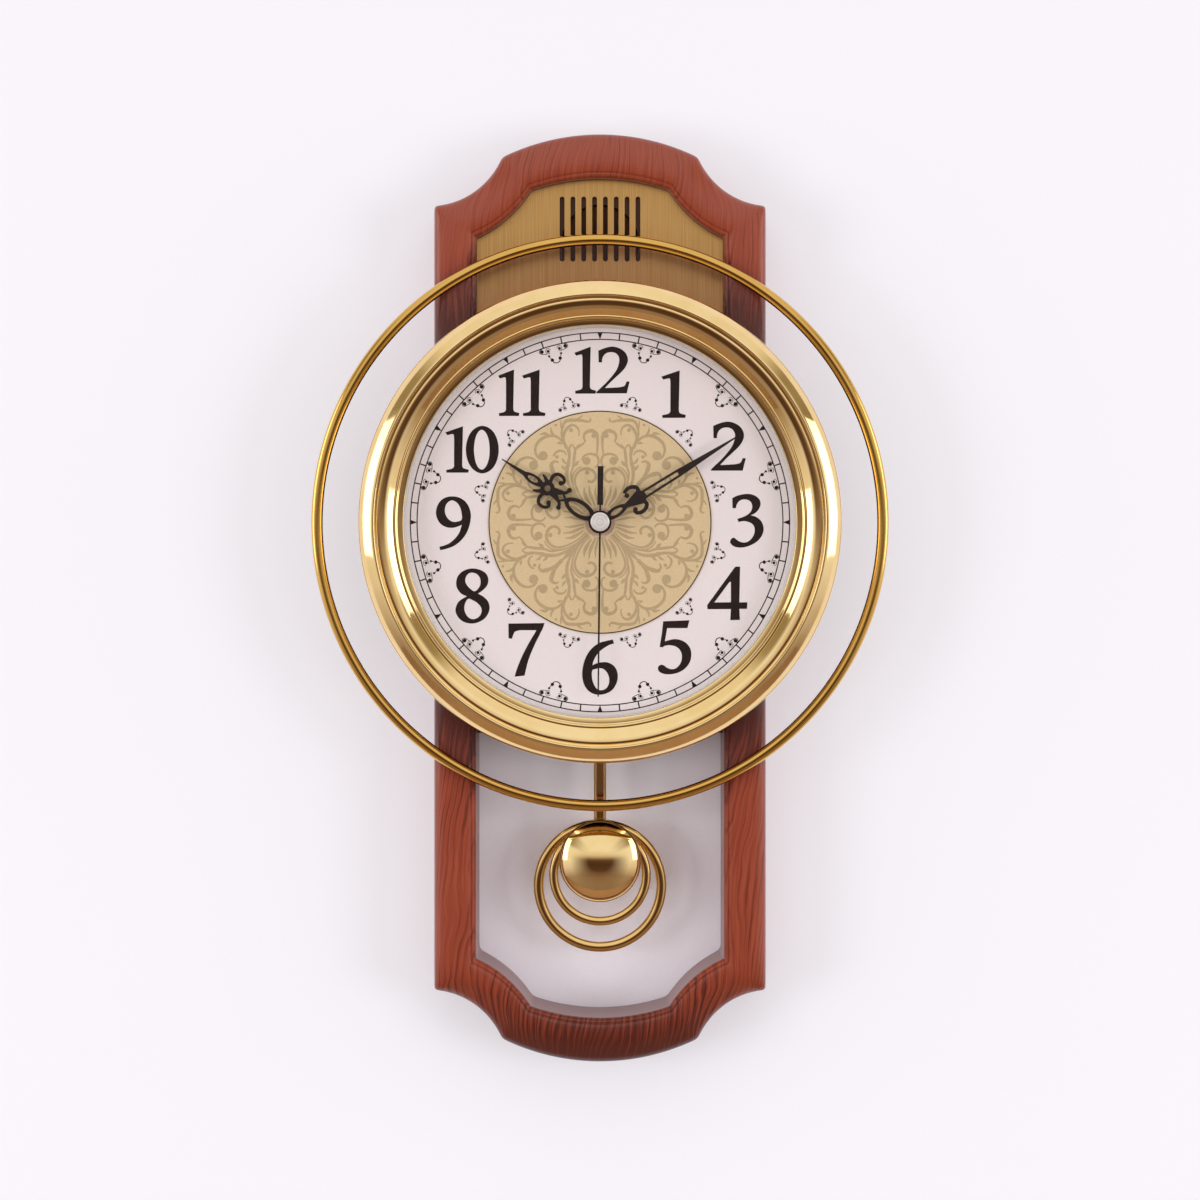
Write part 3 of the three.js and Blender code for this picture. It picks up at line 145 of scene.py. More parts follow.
# walks a closed outline in equal steps of about `step`, and gives the exact step too
def evenSteps(points, step):
    ring = np.asarray([*points, points[0]], float)
    along = np.concatenate(([0], np.cumsum(np.linalg.norm(np.diff(ring, axis=0), axis=1))))
    count = int(round(along[-1] / step))
    at = np.arange(count) * along[-1] / count
    line = np.stack((np.interp(at, along, ring[:, 0]), np.interp(at, along, ring[:, 1])), 1)
    return line, along[-1] / count


# turns points and faces into a finished piece: merges doubles, points faces outwards and joins it to a body
def makePiece(name, shape, looks, node, body="clock_body", sharp=35, grain=None, indices=None):
    points, faces = shape
    mesh = bpy.data.meshes.new(name)
    mesh.from_pydata((np.asarray(points) * mm).tolist(), [], [list(map(int, face)) for face in faces])
    if grain is not None:
        layer = mesh.attributes.new("grain", "FLOAT_VECTOR", "POINT")
        layer.data.foreach_set("vector", np.ascontiguousarray(grain, np.float32).ravel())
    if indices is not None:
        mesh.polygons.foreach_set("material_index", np.asarray(indices, np.int32))
    work = bmesh.new()
    work.from_mesh(mesh)
    bmesh.ops.remove_doubles(work, verts=work.verts, dist=1e-7)
    bmesh.ops.recalc_face_normals(work, faces=work.faces)
    work.to_mesh(mesh)
    work.free()
    mesh.polygons.foreach_set("use_smooth", np.ones(len(mesh.polygons), bool))
    mesh.set_sharp_from_angle(angle=math.radians(sharp))
    for look in looks.split():
        mesh.materials.append(finishes[look])
    piece = bpy.data.objects.new(name, mesh)
    bpy.context.scene.collection.objects.link(piece)
    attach(piece, body)
    if node:
        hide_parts(node)
    return piece


# A profile of (radius, depth) turned about a line along y: x = r cos a, z = r sin a. It closes on itself,
# or at two poles where it begins and ends on the line.
def turned(profile, centre=dialAxis, segments=256):
    profile = np.asarray(profile, float)
    turn = np.arange(segments) * 2 * math.pi / segments
    x = centre[0] + profile[:, :1] * np.cos(turn)
    z = centre[1] + profile[:, :1] * np.sin(turn)
    y = np.broadcast_to(-profile[:, 1:], x.shape)
    points = np.stack((x, y, z), -1).reshape(-1, 3)
    hasPoles = profile[0, 0] == 0 and profile[-1, 0] == 0
    return points, gridFaces(len(profile), segments, not hasPoles, True)


# The outlines of a drawn line: its path moved to each side by half its width, in short lengths that share
# ends. Where it bends, half the width stays under nine tenths of the bend's radius, |v| cubed over |v x a|.
def stroke(path, half, length=4):
    tiny = 1e-12  # keeps a straight run from dividing by nothing
    path = np.asarray(path, float)
    run = np.gradient(path, axis=0)
    bend = np.gradient(run, axis=0)
    speed = np.linalg.norm(run, axis=1) + tiny
    radius = speed**3 / (np.abs(run[:, 0] * bend[:, 1] - run[:, 1] * bend[:, 0]) + tiny)
    half = np.minimum(np.broadcast_to(half, len(path)), 0.9 * radius)
    side = np.stack((-run[:, 1], run[:, 0]), 1) * (half / speed)[:, None]
    left = path + side
    right = path - side
    pieces = [slice(k, k + length + 1) for k in range(0, len(path) - 1, length)]
    return [[np.vstack((left[part], right[part][::-1]))] for part in pieces]


def disc(x, z, radius, steps=20):
    turn = np.arange(steps) * 2 * math.pi / steps
    return [np.stack((x + radius * np.cos(turn), z + radius * np.sin(turn)), 1)]


def turnedAbout(edges, degrees):
    turn = math.radians(degrees)
    matrix = np.array([[math.cos(turn), math.sin(turn)], [-math.sin(turn), math.cos(turn)]])
    return edges @ matrix


# twice the area inside an outline, positive where it runs anticlockwise
def turnOf(line):
    return np.sum(line[:, 0] * np.roll(line[:, 1], -1) - np.roll(line[:, 0], -1) * line[:, 1])


# One flat sheet from many overlapping shapes, each an outer line and its holes. A triangulation through all
# the lines keeps every triangle that some shape covers, and an edge with one triangle only gets a wall.
def joinedSheet(shapes, back, front):
    lines = [np.asarray(line, float) for shape in shapes for line in shape]
    lines = [line if turnOf(line) > 0 else line[::-1] for line in lines]
    owner = [number for number, shape in enumerate(shapes) for line in shape]
    isHole = [place > 0 for shape in shapes for place in range(len(shape))]
    ends = np.cumsum([len(line) for line in lines])
    loops = [list(range(end - len(line), end)) for line, end in zip(lines, ends)]
    corners = [Vector(corner) for corner in np.vstack(lines)]
    insideOnly = 1
    mergeReach = 1e-5
    flat, _, triangles, _, _, sources = delaunay_2d_cdt(corners, [], loops, insideOnly, mergeReach)
    kept = []
    for triangle, source in zip(triangles, sources):
        covered = {owner[k] for k in source if not isHole[k]}
        cut = {owner[k] for k in source if isHole[k]}
        if covered - cut:
            kept.append(triangle)
    used, kept = np.unique(np.array(kept), return_inverse=True)
    kept = kept.reshape(-1, 3)
    flat = np.array([tuple(corner) for corner in flat])[used]
    count = len(flat)
    edges = np.vstack((kept[:, :2], kept[:, 1:], kept[:, [2, 0]]))
    rim = edges[~np.isin(edges[:, 0] * count + edges[:, 1], edges[:, 1] * count + edges[:, 0])]
    walls = np.stack((rim[:, 1], rim[:, 0], rim[:, 0] + count, rim[:, 1] + count), 1)
    faces = kept.tolist() + (kept[:, ::-1] + count).tolist() + walls.tolist()
    x = np.tile(flat[:, 0], 2)
    y = np.repeat([-front, -back], count)
    z = np.tile(flat[:, 1], 2)
    return np.stack((x, y, z), 1), faces


print("finishes")


# mask of the bezel's painted shade on the wood and the grille: rises from 0 at 178 mm from the dial's axis to
# 1 at 142 mm, close to the bezel
def bezelShadeMask(tree):
    place = addNode(tree, "TexCoord", out="Object")
    centre = {"Location": (0, 0, -dialAxis[1] * mm), "Scale": (1, 0, 1)}
    flat = addNode(tree, "Mapping", {"Vector": place, **centre})
    reach = addNode(tree, "VectorMath", {0: flat}, "Value", operation="LENGTH")
    return addNode(tree, "MapRange", {"Value": reach, "From Min": 178 * mm, "From Max": 142 * mm})


# Wood-grain foil under gloss lacquer on a moulded board: red-brown with upright dark lines that sway slowly
# and close into flames, fine fibres between them, and a clear coat that takes soft lights on the edges
woodLook = {"dark": "#4d1c13", "ground": "#863722", "light": "#9b482f", "line": 3.6, "fibre": 0.8}
lacquer = {
    "Roughness": 0.38, "Specular IOR Level": 0.3,
    "Coat Weight": 0.33, "Coat Roughness": 0.05, "Coat IOR": 1.5,
}
tree, surface = newFinish("lacqueredWoodFoil", lacquer)
grain = addNode(tree, "Attribute", out="Vector", attribute_name="grain")
along = addNode(tree, "SeparateXYZ", {"Vector": grain}).node.outputs
plain = addNode(tree, "CombineXYZ", {"X": along["X"], "Z": along["Z"]})
# slow sway, 45 mm across by 110 mm along, moves the lines sideways by up to 14 mm
slow = addNode(tree, "Mapping", {"Vector": plain, "Scale": (22.0, 1.0, 9.0)})
sway = addNode(tree, "TexNoise", {"Vector": slow, "Scale": 1.0, "Detail": 4.0, "Roughness": 0.45}, "Fac")
sway = addNode(tree, "MapRange", {"Value": sway, "To Min": -14 * mm, "To Max": 14 * mm})
moved = addNode(tree, "Math", {0: along["X"], 1: sway}, operation="ADD")
perMetre = 2000 * math.pi / woodLook["line"]
turns = addNode(tree, "Math", {0: moved, 1: perMetre}, operation="MULTIPLY")
lines = addNode(tree, "Math", {0: turns}, operation="SINE")
lines = addNode(tree, "MapRange", {"Value": lines, "From Min": -1.0, "From Max": -0.1})
swayed = addNode(tree, "CombineXYZ", {"X": moved, "Z": along["Z"]})
# fibres run 40 mm along the grain
fibreScale = (1000 / woodLook["fibre"], 1.0, 25.0)
fibres = addNode(tree, "Mapping", {"Vector": swayed, "Scale": fibreScale})
fibres = addNode(tree, "TexNoise", {"Vector": fibres, "Scale": 1.0, "Detail": 3.0, "Roughness": 0.6}, "Fac")
# lines fade in and out over patches 8 mm across by 60 mm along, by the strength in the attribute's y
patches = addNode(tree, "Mapping", {"Vector": swayed, "Scale": (120.0, 1.0, 16.0)})
patches = addNode(tree, "TexNoise", {"Vector": patches, "Scale": 1.0, "Detail": 2.0}, "Fac")
fade = {"From Min": 0.35, "From Max": 0.65, "To Min": 0.25, "To Max": 1.0}
patches = addNode(tree, "MapRange", {"Value": patches, **fade})
depth = addNode(tree, "Math", {0: patches, 1: along["Y"]}, operation="MULTIPLY")
cut = addNode(tree, "Math", {0: lines, 1: 1.0}, operation="SUBTRACT")
cut = addNode(tree, "Math", {0: cut, 1: depth}, operation="MULTIPLY")
spread = {"From Min": 0.3, "From Max": 0.7, "To Min": 0.32, "To Max": 0.92}
fine = addNode(tree, "MapRange", {"Value": fibres, **spread})
tone = addNode(tree, "Math", {0: cut, 1: fine}, operation="ADD")
# the foil is darker over the lowest 60 mm, partly a darker foil and partly painted shade where the case faces
# down, and on the front behind the clear disc it carries the bezel's painted shade
lowShadeAndStain = {"From Min": -432 * mm, "From Max": -492 * mm, "To Min": 0.0, "To Max": -0.7}
paintedShadeAndStain = addNode(tree, "MapRange", {"Value": along["Z"], **lowShadeAndStain})
tone = addNode(tree, "Math", {0: tone, 1: paintedShadeAndStain}, operation="ADD")
place = addNode(tree, "TexCoord", out="Object")
depth = addNode(tree, "SeparateXYZ", {"Vector": place}, "Y")
# only the front faces take the bezel's painted shade, which grows towards the bezel
front = {"From Min": -42 * mm, "From Max": -48 * mm, "To Min": 0.0, "To Max": -0.65}
front = addNode(tree, "MapRange", {"Value": depth, **front})
paintedShadeAndStain = addNode(tree, "Math", {0: front, 1: bezelShadeMask(tree)}, operation="MULTIPLY")
tone = addNode(tree, "Math", {0: tone, 1: paintedShadeAndStain}, operation="ADD")
woodTone = addNode(tree, "ValToRGB", {"Fac": tone})
setStops(woodTone, [(0.0, woodLook["dark"]), (0.45, woodLook["ground"]), (0.95, woodLook["light"])])
pores = addNode(tree, "Bump", {"Height": tone, "Strength": 0.06, "Distance": 0.2 * mm})
fillSockets(surface, {"Base Color": woodTone, "Normal": pores})

# Hardboard: the front is rolled with pale satin paint, the back is bare pressed fibre, brown and matt
boardLook = {"paint": ("#f4f1fa", "#f6f3fc"), "bare": ("#5f4430", "#86664a"), "fibresPerMetre": 420.0}
tree, surface = newFinish("paintedHardboard", {"Roughness": 0.55})
place = addNode(tree, "TexCoord", out="Object")
fibreNoise = {"Vector": place, "Scale": boardLook["fibresPerMetre"], "Detail": 4.0}
fibres = addNode(tree, "TexNoise", fibreNoise, "Fac")
tones = {}
for side in ("paint", "bare"):
    tones[side] = addNode(tree, "ValToRGB", {"Fac": fibres})
    setStops(tones[side], list(zip((0.35, 0.65), boardLook[side])))
depth = addNode(tree, "SeparateXYZ", {"Vector": place}, "Y")
isBack = addNode(tree, "Math", {0: depth, 1: -0.6 * mm}, operation="GREATER_THAN")
shade = addNode(tree, "Mix", {0: isBack, 6: tones["paint"], 7: tones["bare"]}, 2, data_type="RGBA")
roller = addNode(tree, "Bump", {"Height": fibres, "Strength": 0.12, "Distance": 0.3 * mm})
fillSockets(surface, {"Base Color": shade, "Normal": roller})

# Gold-anodised sheet, brushed up and down: fine streaks that soften every light into a broad band, and
# painted shade of the bezel that darkens it behind the clear disc
metal = {"Metallic": 1.0}
brushedLook = ("#d8a964 #f0c481", (0.7, 3, 60), (0.36, 0.5), 0.1, metal)
tree, surface, streaks = grainedFinish("brushedGoldSheet", *brushedLook)
bezelShadeTint = {0: bezelShadeMask(tree), 6: streaks, 7: linear("#dccfdc")}
# painted shade: the streaks are multiplied down towards the bezel
deeper = addNode(tree, "Mix", bezelShadeTint, 2, data_type="RGBA", blend_type="MULTIPLY")
fillSockets(surface, {"Base Color": deeper})

# Steel cap turned on a lathe: pale, with rings about the shaft that are drawn 2 mm apart so that they show
lathed = {"Metallic": 0.6, "Roughness": 0.5, "Anisotropic": 0.9, "Anisotropic Rotation": 0.25}
tree, surface = newFinish("spunSteel", lathed)
place = addNode(tree, "TexCoord", out="Object")
middle = [-dialAxis[0] * mm, 0, -dialAxis[1] * mm]
centred = addNode(tree, "Mapping", {"Vector": place, "Location": middle})
ripple = {"Vector": centred, "Scale": 160.0, "Distortion": 0.4}
rings = addNode(tree, "TexWave", ripple, "Fac", wave_type="RINGS", rings_direction="Y")
steelTone = addNode(tree, "ValToRGB", {"Fac": rings})
setStops(steelTone, [(0.2, "#e9e4e1"), (0.8, "#f7f4f2")])
lift = addNode(tree, "Bump", {"Height": rings, "Strength": 0.1, "Distance": 0.1 * mm})
around = addNode(tree, "Tangent", direction_type="RADIAL", axis="Y")
fillSockets(surface, {"Base Color": steelTone, "Normal": lift, "Tangent": around})

# two shades, size of the grain, the limits of how rough it is, bump, and what else is set
grainedLooks = {
    # the board inside the window: satin, pale mauve-brown with a faint roller texture, a tone that is partly
    # painted reflection of the pale back panel in the glossy wood
    "satinPaintedLiner": ("#97797a #a38383", 4, (0.4, 0.5), 0.15, {}),
    # gold plating polished on spun metal: pale yellow, nearly a mirror, faintly cloudy from handling
    "polishedGoldPlate": ("#f4d494 #fadca2", 14, (0.05, 0.1), 0.02, metal),
    # gold plating left satin on the drawn tube of the halo: darker, with lights that spread along it
    "satinGoldTube": ("#dbae5b #e1b665", 30, (0.12, 0.17), 0.0, metal),
    # gilt lacquer on the pressed brass of the pendulum's rod and rings: a deeper yellow mirror
    "giltLacqueredBrass": ("#e8c078 #f0cb88", 12, (0.05, 0.11), 0.02, metal),
    # cast and polished acrylic: takes a little light away and lays a faint mauve haze over what is dark
    "castClearAcrylic": ("#8f7c84 #97848c", 40, (0.02, 0.05), 0.0, {"Alpha": 0.018}),
    # float glass over the dial: almost nothing but a faint sheen
    "floatGlass": ("#242022 #2c2729", 60, (0.01, 0.03), 0.0, {"Alpha": 0.012}),
    # satin-lacquered aluminium dial: warm silver white with a fine spun frost
    "satinLacqueredDial": ("#e1d6d7 #e9dfe0", (0.8, 3, 0.8), (0.38, 0.46), 0.03, {}),
    # printed gold foil in the middle of the dial: matt tan with a fine print dot
    "printedTanFoil": ("#d3ba90 #dcc49c", (0.9, 3, 0.9), (0.42, 0.5), 0.03, {"Metallic": 0.15}),
    # screen-printed inks: slightly raised, semi-matt, with tiny pinholes of tone
    "screenPrintedBlackInk": ("#1e1514 #291d1b", 1.1, (0.45, 0.6), 0.08, {"Specular IOR Level": 0.2}),
    "screenPrintedUmberInk": ("#ad9672 #b8a17e", 1.1, (0.42, 0.55), 0.08, {"Specular IOR Level": 0.3}),
    # stamped steel hands in black stove enamel: satin
    "stoveEnamelledSteel": ("#1f1715 #291f1d", 1.5, (0.34, 0.44), 0.06, {"Specular IOR Level": 0.3}),
    # zinc-plated steel: grey with a faint spangle
    "zincPlatedSteel": ("#a9adb0 #c3c7c9", 3, (0.28, 0.42), 0.05, metal),
    # lacquered nut behind the hands: tan, semi-matt
    "tanLacqueredNut": ("#c79f80 #cfa98b", 2, (0.4, 0.5), 0.05, {}),
    # moulded plastics: even, with the fine spark texture of the mould
    "mouldedBlackABS": ("#161616 #222121", 0.7, (0.42, 0.55), 0.25, {}),
    "mouldedWhiteNylon": ("#d9d8d2 #e4e3de", 0.8, (0.4, 0.5), 0.15, {}),
    # enamelled copper wire: fine turns side by side with lacquer gloss
    "enamelledCopperWire": ("#9c4a22 #bf6a38", (9, 0.5, 9), (0.2, 0.32), 0.4, {"Metallic": 0.9}),
    # sintered ferrite: dark grey and gritty
    "sinteredFerrite": ("#2c2c2e #3b3b3d", 0.6, (0.55, 0.7), 0.2, {}),
    # pressed cone paper and stained fibreboard: dark brown, matt and fibrous
    "pressedConePaper": ("#4a2e22 #563729", 0.9, (0.7, 0.85), 0.35, {}),
    "brownStainedFibreboard": ("#3a231a #462b20", 1.2, (0.65, 0.8), 0.3, {}),
    # solder-masked board: green with a low gloss
    "solderMaskedBoard": ("#1c5a34 #267043", 1.2, (0.3, 0.42), 0.1, {}),
    # printed sleeve round the cell: blue and smooth
    "printedCellSleeve": ("#2d3f6d #38508a", 6, (0.25, 0.35), 0.03, {}),
}
for name, look in grainedLooks.items():
    grainedFinish(name, *look)

# the solids that keep their own shape, by finish
finishedNodes = [
    ("paintedHardboard", "back_panel"),
    ("brownStainedFibreboard", "baffle_plate"),
    ("pressedConePaper", "speaker_cone"),
    ("tanLacqueredNut", "mounting_nut"),
    ("solderMaskedBoard", "circuit_board"),
    ("printedCellSleeve", "battery"),
    ("enamelledCopperWire", "drive_coil pendulum_coil"),
    ("sinteredFerrite", "speaker_magnet rotor pendulum_magnet"),
    ("mouldedBlackABS", "movement_front_case movement_rear_cover setting_knob chime_switch"),
    ("mouldedWhiteNylon", "train_bridge pendulum_hanger second_wheel centre_wheel hour_wheel"),
    ("mouldedWhiteNylon", "fifth_wheel third_wheel motion_wheel"),
    ("zincPlatedSteel", "hanger_plate speaker_frame stator pendulum_pivot"),
    ("zincPlatedSteel", "battery_contact_positive battery_contact_negative"),
    ("zincPlatedSteel", " ".join(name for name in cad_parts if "screw" in name)),
]
for look, names in finishedNodes:
    for name in names.split():
        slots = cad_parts[name].data.materials
        slots.clear()
        slots.append(finishes[look])

print("case and grille")
caseForm = {
    "width": 192.96,
    "height": 540.0,
    "borderSide": 24.7,
    "borderEnd": 26.6,
    "shoulderDrop": (13.4, 6.7),  # at the outer edge and at the window
    "scallopDrop": (28.4, 27.7),
    "shoulderInset": (39.4, 31.7),
    "scallopSag": (6.8, 3.1),
    "steps": (600, 64, 156),  # along a side, a scallop and an arch
    "step": 0.76,  # about how long those steps are
    "endReach": 1.4,  # how soon a side takes on the ends' depth as it turns up or down
    "endBlur": 9,  # over how many mm that is averaged
}
railForm = {"sides": (63.8, 84.1), "ends": (-294.5, -19.0), "back": 26.3, "front": 36.3}
# nearly upright grain, with stronger lines low on the case
grainForm = {"heights": (-270, -150, 150, 270), "strengths": (0.46, 0.4, 0.28, 0.22), "lean": 0.12}
# inset from the outer edge, depth from the wall at the two ends and along the sides, and how far corners
# are rounded there, in mm
moulding = np.array(
    [
        (0, 0, 0, 1.6), (0, 20, 20, 1.6), (0, 38, 40, 1.6), (0.15, 40, 43, 1.6), (0.6, 41.6, 45.3, 1.7),
        (1.5, 43, 47.2, 1.9), (2.9, 44.3, 48.6, 2.2), (4.8, 45.7, 49.5, 2.6), (7.2, 47.3, 50, 3),
        (9.4, 48.7, 50.25, 3.2), (11, 49.55, 50.35, 3.2), (12.4, 50.1, 50.42, 3), (14, 50.4, 50.47, 2.6),
        (16.6, 50.5, 50.5, 1.9), (19.8, 50.45, 50.45, 1.2), (21, 50.2, 50.2, 0.8), (21.5, 49.8, 49.8, 0.5),
        (21.75, 49.3, 49.3, 0.4), (22, 49.2, 49.2, 0.4), (22.4, 49.5, 49.5, 0.4), (22.9, 49.5, 49.5, 0.4),
        (23.5, 49.1, 49.1, 0.4), (24.1, 48.3, 48.3, 0.4), (24.5, 47.3, 47.3, 0.4), (24.7, 46.2, 46.2, 0.4),
        (24.7, 43, 43, 0.5), (24.7, 30, 30, 1.5), (24.7, 14, 14, 2.2), (24.7, 3.3, 3.3, 2.4),
        (16.7, 3.3, 3.3, 1.2), (16.7, 0, 0, 1.2),
    ]
)


# a circular arc that leaves its chord by `inwards` to the left of the way from start to end
def arcBetween(start, end, inwards, count):
    start = np.asarray(start, float)
    chord = np.asarray(end, float) - start
    length = np.linalg.norm(chord)
    along = chord / length
    left = np.array((-along[1], along[0]))
    share = np.arange(count)[:, None] / count
    if inwards == 0:
        return start + chord * share
    radius = length**2 / (8 * abs(inwards)) + abs(inwards) / 2
    reach = math.asin(length / 2 / radius)
    turn = (2 * share - 1) * reach
    bow = radius * (np.cos(turn) - math.cos(reach)) * math.copysign(1, inwards)
    return start + chord / 2 + along * radius * np.sin(turn) + left * bow


# The scalloped outline at a share of the way from the outer edge to the window: two straight sides,
# two convex arches and four concave scallops, every size mixed between its outer and inner value
def caseOutline(share):
    def between(key):
        outer, inner = caseForm[key]
        return outer + share * (inner - outer)

    x = caseForm["width"] / 2 - share * caseForm["borderSide"]
    apexZ = caseForm["height"] / 2 - share * caseForm["borderEnd"]
    shoulderZ = apexZ - between("shoulderDrop")
    shoulderX = x - between("shoulderInset")
    sideZ = shoulderZ - between("scallopDrop")
    sag = between("scallopSag")
    arch = shoulderZ - apexZ
    long, scallop, crown = caseForm["steps"]
    runs = [
        arcBetween((x, -sideZ), (x, sideZ), 0, long),
        arcBetween((x, sideZ), (shoulderX, shoulderZ), sag, scallop),
        arcBetween((shoulderX, shoulderZ), (-shoulderX, shoulderZ), arch, crown),
        arcBetween((-shoulderX, shoulderZ), (-x, sideZ), sag, scallop),
    ]
    half = np.vstack(runs)
    return np.vstack((half, -half))


# The moulding carried round: each row of the profile is the outline at its inset, set at its depth, which
# mixes from the sides' depth to the ends' by how far the outline faces up or down
border = caseForm["borderSide"]
step = caseForm["step"]
outlines = np.stack([softened(caseOutline(row[0] / border), row[3], step) for row in moulding])
run = np.roll(outlines[0], -1, 0) - np.roll(outlines[0], 1, 0)
outward = np.stack((run[:, 1], -run[:, 0]), 1) / np.linalg.norm(run, axis=1)[:, None]
facing = np.clip(caseForm["endReach"] * np.abs(outward[:, 1]), 0, 1)
endShare = softened(np.stack((facing, 0 * facing), 1), caseForm["endBlur"], step)[:, 0]
depths = moulding[:, 2, None] + endShare * (moulding[:, 1, None] - moulding[:, 2, None])
casePoints = np.stack((outlines[..., 0], -depths, outlines[..., 1] + caseMiddle), -1).reshape(-1, 3)
unrolled = (outlines[..., 0] + outward[:, 0] * (moulding[:, 2].max() - depths)).ravel()
inWindow = moulding[:, 0] == border
isLiner = inWindow & np.roll(inWindow, -1)
faces = gridFaces(*outlines.shape[:2], True, True).tolist()
index = np.repeat(isLiner.astype(int), outlines.shape[1]).tolist()
near, far = railForm["sides"]
low, high = railForm["ends"]
for a, b in ((near, far), (-far, -near)):
    corners = [(a, low), (b, low), (b, high), (a, high)]
    railPoints, railFaces = joinedSheet([[corners]], railForm["back"], railForm["front"])
    start = len(casePoints)
    casePoints = np.vstack((casePoints, railPoints))
    unrolled = np.concatenate((unrolled, railPoints[:, 0]))
    faces += [[corner + start for corner in face] for face in railFaces]
    index += [1] * len(railFaces)
# the grain's own coordinates: across, unrolled round the sides, then the strength of its lines, then along
height = casePoints[:, 2] - caseMiddle
strength = np.interp(height, grainForm["heights"], grainForm["strengths"])
grain = np.stack(((unrolled - grainForm["lean"] * height) * mm, strength, casePoints[:, 2] * mm), 1)
makePiece(
    "caseMoulding", (casePoints, faces), "lacqueredWoodFoil satinPaintedLiner", "case_frame",
    grain=grain, indices=index,
)

grilleForm = {
    "slots": 8, "pitch": 6.3, "width": 2.8, "length": 37.8, "middle": -7.5,
    "bottom": -106.6, "back": 40.4, "front": 41.9, "clearance": 0.3, "corner": 0.3, "lowBand": 2,
}
slotTurn = np.linspace(0, math.pi, 13)
slotReach = (grilleForm["length"] - grilleForm["width"]) / 2
slotEnd = np.stack((np.cos(slotTurn), np.sin(slotTurn)), 1) * grilleForm["width"] / 2 + (0, slotReach)
slotLine = np.vstack((slotEnd, -slotEnd))
slotPlaces = (np.arange(grilleForm["slots"]) - (grilleForm["slots"] - 1) / 2) * grilleForm["pitch"]
slotLines = [slotLine + (x, grilleForm["middle"]) for x in slotPlaces]
# the plate follows the window's top, from a point low on the right over to the left
windowLine = caseOutline(1 + grilleForm["clearance"] / border)
window = softened(windowLine, grilleForm["corner"], step) + (0, caseMiddle)
bottom = grilleForm["bottom"]
top = window[window[:, 1] > bottom]
isLow = top[:, 1] < bottom + grilleForm["lowBand"]
start = int(np.argmax(top[:, 0] + isLow * caseForm["height"]))  # a low point outranks all others
top = np.roll(top, -start, 0)
reach = top[0, 0]
plate = np.vstack((top, [(-reach, bottom), (reach, bottom)]))
sheet = joinedSheet([[plate, *slotLines]], grilleForm["back"], grilleForm["front"])
makePiece("grilleSheet", sheet, "brushedGoldSheet", "grille_plate")

print("halo, bezel and dial")
haloForm = {
    "middle": 163.2, "half": 3.46, "depth": 53.9, "notch": 1.8, "floor": 163.5, "segments": 320,
    "sheet": [
        (58.2, 52.6), (58.4, 52.4), (163.0, 52.4), (163.2, 52.6),
        (163.2, 55.2), (163.0, 55.4), (58.4, 55.4), (58.2, 55.2),
    ],
}
# the rim is a tube with a notch that takes the clear sheet's edge
mouth = math.pi - math.asin(haloForm["notch"] / haloForm["half"])
turn = np.linspace(-mouth, mouth, 40)
tube = np.stack((np.cos(turn), np.sin(turn)), 1) * haloForm["half"] + (haloForm["middle"], haloForm["depth"])
notch = [(haloForm["floor"], haloForm["depth"] + side * haloForm["notch"]) for side in (1, -1)]
rim = turned(np.vstack((tube, notch)), segments=haloForm["segments"])
makePiece("haloRing", rim, "satinGoldTube", "halo_ring")
sheet = turned(haloForm["sheet"], segments=haloForm["segments"])
makePiece("haloSheet", sheet, "castClearAcrylic", "halo_glass")

panLine = [
    (5.3, 55.7), (52.9, 55.7), (52.9, 40.4), (57.9, 40.4), (57.9, 55.7),
    (134.7, 55.7), (134.7, 62.3), (131.7, 62.3), (131.7, 58.3), (5.3, 58.3),
]
makePiece("dialPan", turned(panLine), "mouldedBlackABS", "dial_pan")

# spun bezel: an upright side, a broad bowed band, a narrow groove, a slope that steepens towards the glass,
# a bead and a thin lip, each with its steps between points, and last the plain inside
bezelForm = {
    "band": (7, [
        (137.2, 55.9), (138, 59), (138, 65), (138, 71), (137.9, 74.2), (137.3, 76.0), (136.2, 77.4),
        (134.6, 79.0), (132.8, 80.6), (131.2, 81.8), (129.9, 82.6), (129.0, 82.9), (128.3, 82.6),
        (128.0, 81.7), (127.9, 80.5),
    ]),
    "slope": (7, [
        (127.2, 80.3), (126.7, 80.75), (125.6, 80.85), (124.2, 80.7), (122.8, 80.42), (121.8, 79.95),
        (120.6, 79.1), (119.4, 78.0), (118.2, 76.9),
    ]),
    "bead": (5, [(117.8, 76.6), (117.3, 77.0), (116.6, 77.0), (116.0, 76.5), (115.7, 76.0)]),
    "lip": (4, [(115.3, 75.75), (114.2, 75.7), (113.0, 75.6), (112.3, 75.45), (112.0, 75.1)]),
}
bezelInside = [(112.1, 74.95), (135, 74.95), (135, 55.9)]
bezelLines = [smoothLine(points, perSpan) for perSpan, points in bezelForm.values()]
bezel = turned(np.vstack((*bezelLines, bezelInside)), segments=360)
makePiece("spunBezel", bezel, "polishedGoldPlate", "bezel", sharp=32)

